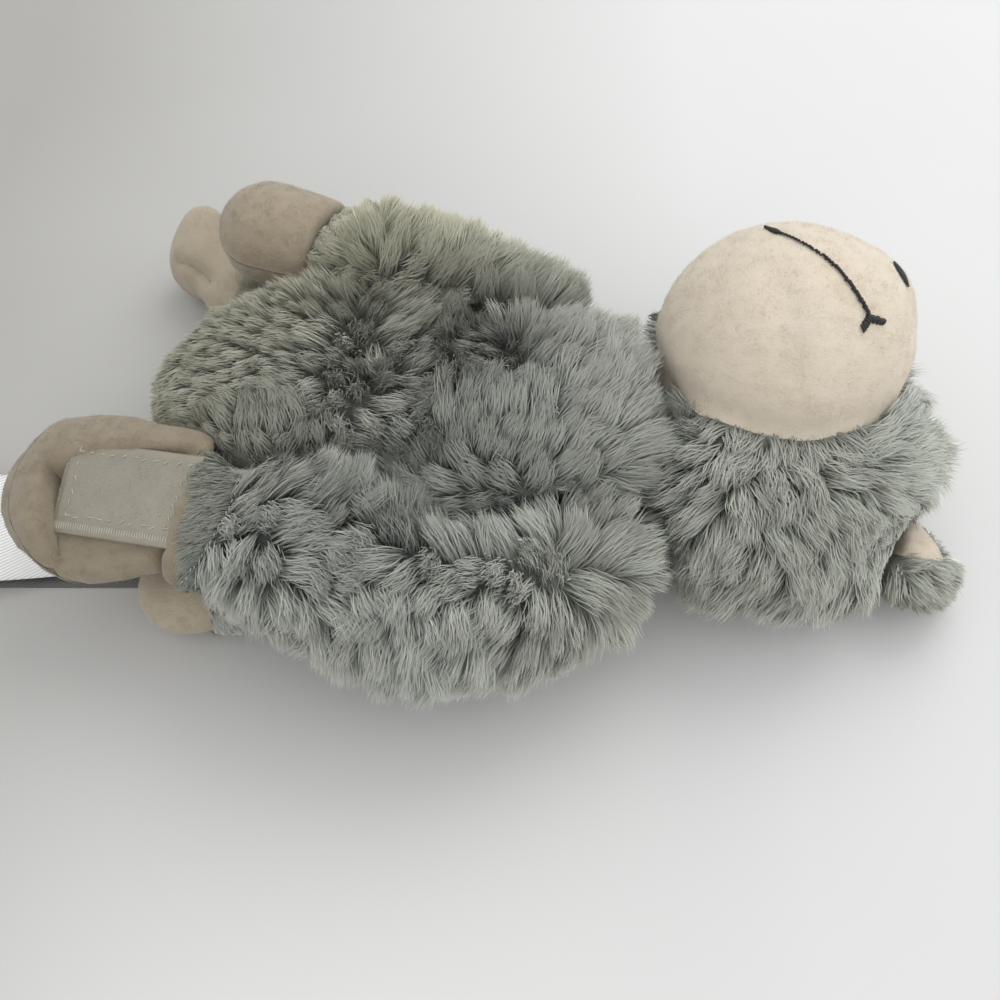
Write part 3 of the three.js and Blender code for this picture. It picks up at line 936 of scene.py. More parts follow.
# A dark grey copy of the label satin: painted shade for the label's lower ply.
SHADED_SATIN = SatinFinish(name="grey_satin", low="484744", high="53524f")
TAPE = TapeFinish()
CLEAR_HOOKS = TapeFinish(name="clear_hooks", colour="aca89c", rough=0.22)
NYLON_THREAD = ThreadFinish(name="clear_thread", colour="aeaa9f", rough=0.3)
GREY_THREAD = ThreadFinish(name="grey_thread", colour="9da09a", rough=0.28)
BLACK_THREAD = ThreadFinish()


# Soft forms


class Cover(Enum):
    """What a CAD panel is covered with."""

    FUR = "fur"
    CUFF = "cuff"
    VELOUR = "velour"


@dataclass(frozen=True)
class Dent:
    """A hollow pressed into a form at a place in the picture, or a pull right and down in the picture."""

    x: float
    y: float
    radius: float
    depth: float
    right: float = 0.0
    down: float = 0.0


def dents(rows: str) -> tuple[Dent, ...]:
    """Read dents from rows of x, y, then radius and depth in millimetres, then right and down for a pull."""
    return tuple(Dent(x, y, radius * MM, depth * MM, *pull) for x, y, radius, depth, *pull in numbers(rows))


@dataclass(frozen=True)
class MovedSeam:
    """A line down the picture, left of which the cloth of some panels joins another one."""

    line: tuple[tuple[float, float], ...]
    to: str
    of: tuple[str, ...]
    seen: bool = False


@dataclass
class SoftForm:
    """A stuffed form of one body, blown up as cloth from its CAD solids."""

    body: str
    panels: dict[str, Cover]
    stuffing: str
    voxel: float = 2.2 * MM
    inset: dict[Cover, float] = field(
        default_factory=lambda: {Cover.FUR: 3.4 * MM, Cover.CUFF: 1.6 * MM, Cover.VELOUR: 1.1 * MM}
    )
    cap: float = 1.4 * MM
    slack: float = 0.5 * MM
    search: float = 4.5 * MM
    calm: int = 6
    floor: float = 0.6 * MM
    refine: bool = False
    dents: tuple[Dent, ...] = ()
    shell: Shell | None = None
    labels: np.ndarray | None = None
    thing: bpy.types.Object | None = None
    trees: dict[str, BVHTree] = field(default_factory=dict)

    def solids(self) -> list[str]:
        """Give the panels that have a CAD solid of their own."""
        return [name for name in self.panels if name in frame["nodes"]]

    def rough(self) -> None:
        """Join the body's CAD solids and remesh them into one closed form, a little inside them."""
        names = self.solids()
        solid = merged([self.stuffing, *names] if self.stuffing else names)
        thing = placed(bpy.data.objects.new(f"{self.body}_rough", solid))
        remesh = thing.modifiers.new("remesh", "REMESH")
        remesh.mode, remesh.voxel_size = "VOXEL", self.voxel
        shell = Shell.of(plain_copy(thing, "joined"))
        bpy.data.objects.remove(thing)
        shell.points = shell.smooth(shell.points, 4)
        self.trees = {name: Shell.of(merged([name])).tree() for name in names}
        near = [self.panels[names[self.nearest(names, point)]] for point in shell.points.tolist()]
        sunk = shell.smooth(np.array([self.inset[cover] for cover in near]), 6)
        shell.points = shell.points - shell.normals() * (sunk + self.slack)[:, None]
        shell.points = shell.smooth(shell.points, 2)
        self.shell = shell
        self.thing = shell.object(f"{self.body}_form")

    def nearest(self, names: list[str], point: list[float]) -> int:
        """Give the number of the panel that lies nearest to a point."""
        return min(range(len(names)), key=lambda n: self.trees[names[n]].find_nearest(Vector(point))[3])

    def label(self) -> None:
        """Note which panel each face of the form lies under."""
        names = self.solids()
        self.labels = np.array([self.nearest(names, point) for point in self.shell.centres().tolist()])

    def seat(self) -> None:
        """Bring the blown form back to its depth under the panels, and keep its small creases."""
        shell = self.shell
        normals = shell.normals()
        names = self.solids()
        move = np.zeros((len(shell.points), 3))
        for index, (point, normal) in enumerate(zip(shell.points, normals)):
            start = Vector(point + normal * self.search)
            hits = [(self.trees[n].ray_cast(start, Vector(-normal), 2 * self.search), n) for n in names]
            hits = [(hit[3], n, hit[0]) for hit, n in hits if hit[0] is not None]
            if hits:
                _, near, place = min(hits, key=lambda hit: hit[0])
                move[index] = np.array(place) - normal * self.inset[self.panels[near]] - point
        shell.points = shell.points + held(shell.smooth(move, self.calm), self.search)

    def press(self) -> None:
        """Press the hollows into the blown form and smooth it."""
        self.seat()
        shell = self.shell
        if self.refine:
            mesh = shell.object("fine")
            bend = mesh.modifiers.new("fine", "SUBSURF")
            bend.levels = bend.render_levels = 1
            shell = Shell.of(plain_copy(mesh, "fine"))
            bpy.data.objects.remove(mesh)
        tree = shell.tree()
        for dent in self.dents:
            found = VIEW.on(tree, dent.x, dent.y)
            if found is None:
                continue
            away = np.linalg.norm(shell.points - found[0], axis=1)
            normals = shell.normals()
            facing = normals @ found[1] > -0.2
            push = np.where(facing, dent.depth * np.exp(-((away / dent.radius) ** 2)), 0)
            pulled = dent.right or dent.down
            way = dent.right * ACROSS - dent.down * VIEW.axes()[0] if pulled else -found[1]
            shell.points = shell.points + way * push[:, None]
        shell.points = shell.smooth(shell.points, 1)
        shell.points[:, 2] = np.maximum(shell.points[:, 2], self.floor)
        self.shell = shell

    def patch(self, name: str, thick: float) -> tuple[Shell, Shell]:
        """Cut the cloth of one panel from the form.

        Args:
            name: The panel's node.
            thick: The cloth's thickness with its backing.

        Returns:
            The outer face alone, and the closed panel.
        """
        cut = self.shell.part(self.labels == list(self.panels).index(name))
        edges = cut.edges()
        rim = edges[edges[:, 2] == 1]
        cut.points = cut.smooth(cut.points, 14, only=rim)
        on_rim = np.zeros(len(cut.points), bool)
        on_rim[rim[:, :2].ravel()] = True
        band = cut.smooth(on_rim.astype(float), 3) > 0.02
        eased = cut.points.copy()
        for _ in range(8):
            moved = Shell(eased, cut.faces).smooth(eased, 1)
            eased[band & ~on_rim] = moved[band & ~on_rim]
        cut.points = eased
        normals = cut.normals()
        outer = Shell(cut.points + normals * thick, cut.faces)
        count = len(cut.points)
        directed = {pair for face in cut.faces.tolist() for pair in zip(face, face[1:] + face[:1])}
        turned = [(a, b) if (a, b) in directed else (b, a) for a, b, _ in rim.tolist()]
        sides = [(b, a, a + count, b + count) for a, b in turned]
        flipped = cut.faces[:, [1, 0, 3, 2]].copy()
        triangles = cut.faces[:, 2] == cut.faces[:, 3]
        flipped[triangles] = cut.faces[triangles][:, [1, 0, 2, 2]]
        faces = np.concatenate([cut.faces + count, flipped, np.array(sides, int).reshape(-1, 4)])
        return outer, Shell(np.concatenate([cut.points, outer.points]), faces)


def merged(nodes: list[str]) -> bpy.types.Mesh:
    """Copy the meshes of CAD nodes into one, with their corners joined.

    Args:
        nodes: The nodes, in the order in which they are joined.

    Returns:
        The mesh.
    """
    bm = bmesh.new()
    for node in nodes:
        bm.from_mesh(frame["nodes"][node].data)
    bmesh.ops.remove_doubles(bm, verts=bm.verts, dist=JOIN_WITHIN)
    return emptied(bm, f"{nodes[0]}_merged")


def emptied(bm: bmesh.types.BMesh, name: str) -> bpy.types.Mesh:
    """Turn an edit mesh into a plain mesh and free it.

    Args:
        bm: The edit mesh.
        name: What the plain mesh is called.

    Returns:
        The plain mesh.
    """
    mesh = bpy.data.meshes.new(name)
    bm.to_mesh(mesh)
    bm.free()
    return mesh


def inflate(forms: list[SoftForm], frames: int = 20, pressure: float = 6.0) -> None:
    """Blow the forms up together as cloth, and keep each point within its form's cap.

    Args:
        forms: The forms, made rough.
        frames: How many frames the cloth moves.
        pressure: The air pressure inside.
    """
    scene = bpy.context.scene
    for form in forms:
        cloth = form.thing.modifiers.new("cloth", "CLOTH").settings
        cloth.quality, cloth.mass, cloth.air_damping = 4, 0.1, 2.0
        cloth.tension_stiffness = cloth.compression_stiffness = 10.0
        cloth.bending_stiffness = 0.3
        cloth.use_pressure, cloth.uniform_pressure_force = True, pressure
        cloth.effector_weights.gravity = 0.0
    for number in range(1, frames + 1):
        scene.frame_set(number)
    for form in forms:
        blown = Shell.of(plain_copy(form.thing, "blown")).points
        move = blown - form.shell.points
        LOG.info("%s: cloth moved %.2f mm at most", form.body, np.linalg.norm(move, axis=1).max() / MM)
        form.shell.points = form.shell.points + held(move, form.cap)
        form.thing.modifiers.clear()
    scene.frame_set(1)


# Pile


@dataclass(frozen=True)
class PileStyle:
    """How the fibres of one kind of fur stand."""

    length: float = 9.0 * MM
    lean: float = 0.54
    locks: float = 1.5
    tuft: float = 3.5 * MM
    pull: float = 0.68
    spray: float = 0.17
    crimp: float = 0.28 * MM
    waves: float = 1.5
    blade: float = 0.25 * MM
    lock: float = 1.0 * MM
    swing: float = 1.35
    nap: bool = False


class Pile(Enum):
    """The furs of the toy."""

    LONG = PileStyle()
    BELLY = PileStyle(length=8.0 * MM, lean=0.5, tuft=3.6 * MM, swing=1.3)
    RUMP = PileStyle(length=6.5 * MM, lean=0.7, tuft=3.0 * MM, pull=0.45, crimp=0.3 * MM, swing=0.7)
    HOOD = PileStyle(length=8.8 * MM, lean=0.58, tuft=3.3 * MM, pull=0.64, swing=1.5)
    EAR = PileStyle(length=5 * MM, lean=0.62, tuft=3.0 * MM, pull=0.5, swing=1.3)
    CUFF = PileStyle(length=3.2 * MM, lean=0.74, locks=2.2, tuft=1.8 * MM, pull=0.2, crimp=0.2 * MM, blade=0.2 * MM,
                     lock=0.7 * MM, swing=0.6)
    NAP = PileStyle(length=0.55 * MM, lean=0.7, locks=0.4, pull=0.0, spray=0.3, crimp=0.0, waves=0.0,
                    blade=0.042 * MM, lock=1.3 * MM, swing=0.2, nap=True)
    FACE = PileStyle(length=0.5 * MM, lean=0.5, locks=0.4, pull=0.0, spray=0.35, crimp=0.0, waves=0.0,
                     blade=0.045 * MM, lock=1.3 * MM, swing=0.3, nap=True)


CRIMP_PER_METRE = 115.0
LOCK_STEPS = ((0.0, 0.8), (0.4, 1.0), (0.76, 0.8))
NAP_STEPS = ((0.0, 1.0),)
USED_UP = {
    "root", "knee", "tip", "rise", "own_chance", "tuft_chance", "side", "blade", "comb", "pile", "lean", "cover",
}


def lock_mesh(blades: int, steps: tuple[tuple[float, float], ...]) -> bpy.types.Object:
    """Make one lock of tapered blades. It stands for no shape yet: its points only say where they come.

    Args:
        blades: How many blades are in the lock.
        steps: How far along each pair of points of a blade is, and how wide the blade is there.

    Returns:
        The object, with the attributes along, side and blade on its points.
    """
    points, faces, along, side, which = [], [], [], [], []
    for blade in range(blades):
        base = len(points)
        for share, wide in steps:
            for hand in (-0.5, 0.5):
                points.append((hand * wide * MM, blade * MM, share * MM))
                along.append(share)
                side.append(hand * wide)
                which.append(float(blade))
        points.append((0, blade * MM, MM))
        along.append(1.0)
        side.append(0.0)
        which.append(float(blade))
        for row in range(len(steps) - 1):
            a = base + 2 * row
            faces.append((a, a + 1, a + 3, a + 2))
        last = base + 2 * len(steps)
        faces.append((last - 2, last - 1, last))
    mesh = bpy.data.meshes.new("lock")
    mesh.from_pydata(points, [], faces)
    note(mesh, along=along, side=side, blade=which)
    return placed(bpy.data.objects.new("lock", mesh))


class Maker:
    """A geometry node tree with named fields, made once and put to work on many objects."""

    NAME = ""
    TAKES = ""
    MATERIAL = ""
    FIELDS: tuple[tuple[str, str, object], ...] = ()

    def __init__(self) -> None:
        """Build the tree."""
        self.tree = bpy.data.node_groups.new(self.NAME, "GeometryNodeTree")
        g = self.g = Graph(self.tree)
        g.socket("Geometry", "NodeSocketGeometry", out=True)
        g.socket(self.TAKES, "NodeSocketGeometry")
        self.ids = {name: g.socket(name, kind, value) for name, kind, value in self.FIELDS}
        self.given = g.add("NodeGroupInput").outputs
        grown = g.add("GeometryNodeSetMaterial", {"Geometry": self.grow(), "Material": self.given[self.MATERIAL]})
        g.add("NodeGroupOutput", {"Geometry": grown})

    def grow(self) -> bpy.types.NodeSocket:
        """Lay out the tree's own nodes and give what comes out of them."""
        raise NotImplementedError

    def spread(self, points: object, shape: str, **given: object) -> bpy.types.NodeSocket:
        """Set a shape on points.

        Args:
            points: The points.
            shape: The name of the shape's field.
            given: What else goes into the instances.

        Returns:
            The shapes as real geometry.
        """
        form = self.g.add("GeometryNodeObjectInfo", {"Object": self.given[shape]}).outputs["Geometry"]
        shapes = self.g.add("GeometryNodeInstanceOnPoints", {"Points": points, "Instance": form, **given})
        return self.g.add("GeometryNodeRealizeInstances", {"Geometry": shapes}).outputs[0]

    def work(self, thing: bpy.types.Object, name: str, values: dict[str, object]) -> bpy.types.Mesh:
        """Put the tree to work on an object, and give what it makes in the object's place.

        Args:
            thing: The object, which is used up.
            name: What the mesh is called.
            values: What goes into each field.

        Returns:
            A plain mesh.
        """
        worker = thing.modifiers.new(self.NAME, "NODES")
        worker.node_group = self.tree
        for key, value in values.items():
            worker[self.ids[key]] = value
        mesh = plain_copy(thing, name)
        bpy.data.objects.remove(thing)
        return mesh


class PileTree(Maker):
    """The geometry node tree that grows locks of fibre on a combed surface."""

    NAME = "plush_pile"
    TAKES = "Cloth"
    MATERIAL = "Fibre Material"
    TUFT_KEY = 5231.0
    OWN_KEY = 9377.0
    BLADE_KEY = 733.0
    BLADE_SHIFT = 3.7
    SECOND_KEY = (41.0, 17.0, 5.0)
    BASE_TONE = 0.5
    TUFT_TONE = 0.6
    OWN_TONE = 0.4
    TUFT_PHASE = 40.0
    OWN_PHASE = 3.0
    UNEVEN_LENGTH = 0.36
    UNEVEN_LEAN = 0.22
    KNEE_UP = 0.4
    KNEE_OUT = 0.14
    KNEE_PULL = 0.35
    ROLL = 0.9
    CRIMP_UP = 0.6
    MIDDLE_SPRAY = 0.4
    TIP_GATHER = 0.6
    LOWEST = 0.3 * MM
    FIELDS = (
        ("Lock", "NodeSocketObject", None), ("Locks per Area", "NodeSocketFloat", 7e5),
        ("Tuft Spacing", "NodeSocketFloat", 0.0046), ("Pull", "NodeSocketFloat", 0.6),
        ("Spray", "NodeSocketFloat", 0.1), ("Crimp", "NodeSocketFloat", 0.0005),
        ("Waves", "NodeSocketFloat", 2.4), ("Blade Width", "NodeSocketFloat", 0.0004),
        ("Lock Width", "NodeSocketFloat", 0.0009), ("Swing", "NodeSocketFloat", 0.9),
        ("Seed", "NodeSocketInt", 1), ("Fibre Material", "NodeSocketMaterial", None),
    )

    def scatter(self, rule: str, seed: object, given: dict) -> bpy.types.NodeSocket:
        """Scatter points on the cloth and keep their surface normal as rise.

        Args:
            rule: How the points are spread.
            seed: The seed.
            given: How close they lie.

        Returns:
            The points.
        """
        node = self.g.add("GeometryNodeDistributePointsOnFaces",
                          {"Mesh": self.given["Cloth"], "Seed": seed, **given}, distribute_method=rule)
        return self.g.keep(node.outputs["Points"], "rise", node.outputs["Normal"])

    def arch(self, key: bpy.types.NodeSocket) -> tuple[bpy.types.NodeSocket, bpy.types.NodeSocket]:
        """Work out where a lock bends and ends, from the comb at its root.

        Args:
            key: Three random numbers.

        Returns:
            Its knee and its tip.
        """
        g = self.g
        place = g.add("GeometryNodeInputPosition").outputs[0]
        rise = g.read("rise")
        comb = g.read("comb")
        across = g.vector("CROSS_PRODUCT", rise, comb)
        a, b, c = g.split(key)
        turn = g.times(a, self.given["Swing"])
        lay = g.sum(g.scaled(comb, g.math("COSINE", turn)), g.scaled(across, g.math("SINE", turn)))
        reach = g.times(g.read("pile", "FLOAT"), g.math("MULTIPLY_ADD", b, self.UNEVEN_LENGTH, 1.0))
        lean = g.math("MULTIPLY_ADD", c, self.UNEVEN_LEAN, g.read("lean", "FLOAT"))
        angle = g.times(lean, math.pi / 2)
        end = g.sum(g.scaled(rise, g.math("COSINE", angle)), g.scaled(lay, g.math("SINE", angle)))
        risen = g.scaled(rise, g.times(reach, self.KNEE_UP))
        knee = g.sum(place, risen, g.scaled(lay, g.times(reach, self.KNEE_OUT)))
        return knee, g.sum(place, g.scaled(end, reach))

    def grow(self) -> bpy.types.NodeSocket:
        """Grow the locks and bend each blade into place.

        Returns:
            The blades, with their tone as an attribute.
        """
        g = self.g
        locks = self.spread(self.roots(), "Lock")
        own, tuft, rise = g.read("own_chance"), g.read("tuft_chance"), g.read("rise")
        blade = g.read("blade", "FLOAT")
        seed = g.sum(g.scaled(own, self.BLADE_KEY), g.joined(blade, g.times(blade, self.BLADE_SHIFT), 0.0))
        one, two = g.chance(seed), g.chance(g.sum(seed, self.SECOND_KEY))
        spot = self.blade(rise, tuft, one, two)
        x, y, z = g.split(spot)
        above = g.joined(x, y, g.math("MAXIMUM", z, self.LOWEST))
        bent = g.add("GeometryNodeSetPosition", {"Geometry": locks, "Position": above}).outputs[0]
        shared = g.math("MULTIPLY_ADD", g.split(tuft)[0], self.TUFT_TONE, self.BASE_TONE)
        tone = g.math("ADD", shared, g.times(g.split(one)[1], self.OWN_TONE))
        return g.keep(bent, "tone", tone, "FLOAT")

    def roots(self) -> bpy.types.NodeSocket:
        """Scatter the locks' roots and gather them into tufts.

        Returns:
            The roots, with the knee and tip of each pulled towards its tuft.
        """
        g, given = self.g, self.given
        place = g.add("GeometryNodeInputPosition").outputs[0]
        density = g.times(g.read("cover", "FLOAT"), given["Locks per Area"])
        roots = self.scatter("RANDOM", given["Seed"], {"Density": density})
        tufts = self.scatter("POISSON", g.math("ADD", given["Seed"], 7),
                             {"Distance Min": given["Tuft Spacing"], "Density Max": 1e6})
        tuft_key, own_key = (g.chance(g.scaled(place, key)) for key in (self.TUFT_KEY, self.OWN_KEY))
        (tuft_knee, tuft_tip), (own_knee, own_tip) = self.arch(tuft_key), self.arch(own_key)
        nearest = g.add("GeometryNodeSampleNearest", {"Geometry": tufts, "Sample Position": place}, domain="POINT")
        near = nearest.outputs[0]
        pull = given["Pull"]
        for name, value in (
            ("root", place),
            ("knee", g.lerp(own_knee, g.pick(tufts, tuft_knee, near), g.times(pull, self.KNEE_PULL))),
            ("tuft_chance", g.pick(tufts, tuft_key, near)),
            ("own_chance", own_key),
            ("tip", g.lerp(own_tip, g.pick(tufts, tuft_tip, near), pull)),
        ):
            roots = g.keep(roots, name, value)
        return roots

    def blade(self, rise: bpy.types.NodeSocket, tuft: bpy.types.NodeSocket, one: bpy.types.NodeSocket,
              two: bpy.types.NodeSocket) -> bpy.types.NodeSocket:
        """Work out where a point of a blade comes.

        Args:
            rise: The cloth's normal at the root.
            tuft: The tuft's three random numbers.
            one: The blade's own three random numbers.
            two: Three more of them.

        Returns:
            The place.
        """
        g, given = self.g, self.given
        along, side = g.read("along", "FLOAT"), g.read("side", "FLOAT")
        root, knee, tip = g.read("root"), g.read("knee"), g.read("tip")
        flat = g.vector("SUBTRACT", one, g.scaled(rise, g.vector("DOT_PRODUCT", one, rise)))
        off = g.scaled(flat, g.times(given["Lock Width"], 2.0))
        reach = g.vector("DISTANCE", root, tip)
        spray = g.scaled(two, g.times(reach, g.times(given["Spray"], 2.0)))
        start = g.sum(root, off)
        middle = g.sum(knee, off, g.scaled(spray, self.MIDDLE_SPRAY))
        end = g.sum(tip, g.scaled(off, self.TIP_GATHER), spray)
        rest = g.math("SUBTRACT", 1.0, along)
        curve = g.sum(
            g.scaled(start, g.times(rest, rest)),
            g.scaled(middle, g.times(g.times(rest, along), 2.0)),
            g.scaled(end, g.times(along, along)),
        )
        axis = g.vector("NORMALIZE", g.vector("SUBTRACT", end, start))
        level = g.vector("NORMALIZE", g.vector("CROSS_PRODUCT", rise, axis))
        roll = g.times(g.split(two)[0], self.ROLL)
        wide = g.vector("NORMALIZE", g.sum(level, g.scaled(rise, roll)))
        shift = g.times(g.split(tuft)[2], self.TUFT_PHASE)
        phase = g.math("ADD", shift, g.times(g.split(one)[0], self.OWN_PHASE))
        wave = g.math("ADD", g.times(along, g.times(given["Waves"], math.tau)), phase)
        grown = g.math("MINIMUM", g.times(reach, CRIMP_PER_METRE), 1.0)
        size = g.times(given["Crimp"], g.times(along, grown))
        sideways = g.scaled(level, g.times(g.math("SINE", wave), size))
        upwards = g.scaled(rise, g.times(g.math("COSINE", wave), g.times(size, self.CRIMP_UP)))
        crimp = g.sum(sideways, upwards)
        return g.sum(curve, crimp, g.scaled(wide, g.times(side, given["Blade Width"])))


@dataclass
class Groomer:
    """Combs surfaces and grows their pile."""

    comb: tuple[Stroke, ...]
    own: dict[str, tuple[Stroke, ...]]
    tree: PileTree = field(default_factory=PileTree)
    lock: bpy.types.Object = field(default_factory=lambda: lock_mesh(7, LOCK_STEPS))
    nap: bpy.types.Object = field(default_factory=lambda: lock_mesh(14, NAP_STEPS))
    most: int = 188000
    most_nap: int = 44000
    seed: int = 3
    nearby: float = 12.0
    fade: float = 3.2
    sky: float = 50.0 * MM

    def lay(
        self, name: str, points: np.ndarray, normals: np.ndarray, fall: np.ndarray
    ) -> tuple[np.ndarray, np.ndarray]:
        """Work out the lie of the pile.

        Args:
            name: The pile's name.
            points: Places on the cloth.
            normals: The cloth's normals there.
            fall: Where the pile lies out of the comb's sight.

        Returns:
            Unit directions in the cloth, and how far the strokes round each place agree, from nought to one.
        """
        up, _ = VIEW.axes()
        seen = VIEW.picture(points)
        comb = self.own.get(name, self.comb)
        rows = np.array([(s.x, s.y) for s in comb])
        lean = unit(np.array([(s.right, s.down) for s in comb]))
        near = np.linalg.norm(seen[:, None] - rows[None], axis=2)
        weight = 1 / (near + self.nearby) ** self.fade
        mixed = weight @ lean / weight.sum(1, keepdims=True)
        world = mixed[:, :1] * ACROSS - mixed[:, 1:] * up
        share = smoothstep(-0.1, 0.35, VIEW.facing(points, normals))
        agreed = 1 - share * (1 - smoothstep(0.3, 0.9, np.linalg.norm(mixed, axis=1)))
        share = share[:, None]
        return tangent(share * unit(world) + (1 - share) * unit(fall), normals), agreed

    def room(self, points: np.ndarray, normals: np.ndarray, others: BVHTree) -> np.ndarray:
        """Measure how far the air reaches over each point.

        Args:
            points: Places on the cloth.
            normals: The cloth's normals there.
            others: The solids of the other bodies.

        Returns:
            The free height at each point, at most the sky's.
        """
        free = np.full(len(points), self.sky)
        for index, (point, normal) in enumerate(zip(points, normals)):
            hit = others.ray_cast(Vector(point + normal * 0.2 * MM), Vector(normal), self.sky)
            if hit[0] is not None:
                free[index] = hit[3]
        return free

    def grow(self, name: str, outer: Shell, style: PileStyle, fall: np.ndarray, scale: np.ndarray,
             others: BVHTree, finish: Finish) -> bpy.types.Object:
        """Grow the pile of one panel.

        Args:
            name: What the piece is called.
            outer: The panel's outer face.
            style: How the fibres stand.
            fall: Where the pile lies out of sight.
            scale: How long the pile is at each point, as a share.
            others: The solids of the other bodies.
            finish: What the fibres look like.

        Returns:
            The pile as a plain mesh object.
        """
        normals = outer.normals()
        free = self.room(outer.points, normals, others)
        open_share = smoothstep(1.2 * MM, 4 * MM, free)
        pile = np.minimum(style.length * scale, np.maximum(free * 1.3, 2 * MM))
        cover = open_share * (0.55 + 0.45 * smoothstep(-0.3, 0.2, VIEW.facing(outer.points, normals)))
        base = outer.object(f"{name}_base")
        comb, agreed = self.lay(name, outer.points, normals, fall)
        comb = tangent(outer.smooth(comb, 3), normals)
        lean = style.lean * (0.6 + 0.4 * outer.smooth(agreed, 3)) + 0.2 * (1 - np.clip(scale, 0, 1))
        note(base.data, comb=comb, pile=pile, lean=lean, cover=cover)
        area = (outer.area() * cover[outer.faces].mean(1)).sum()
        lock, most = (self.nap, self.most_nap) if style.nap else (self.lock, self.most)
        triangles = sum(len(f.vertices) - 2 for f in lock.data.polygons)
        density = min(style.locks / MM**2, most / triangles / max(area, 1e-9))
        self.seed += 1
        grown = self.tree.work(base, name, {
            "Lock": lock, "Locks per Area": density, "Tuft Spacing": style.tuft, "Pull": style.pull,
            "Spray": style.spray, "Crimp": style.crimp, "Waves": style.waves, "Blade Width": style.blade,
            "Lock Width": style.lock, "Swing": style.swing, "Seed": self.seed, "Fibre Material": finish.material(),
        })
        for attribute in USED_UP & {a.name for a in grown.attributes}:
            grown.attributes.remove(grown.attributes[attribute])
        grown.shade_smooth()
        LOG.info("%s: %d locks a square centimetre, %d faces", name, density * 1e-4, len(grown.polygons))
        return placed(bpy.data.objects.new(name, grown))


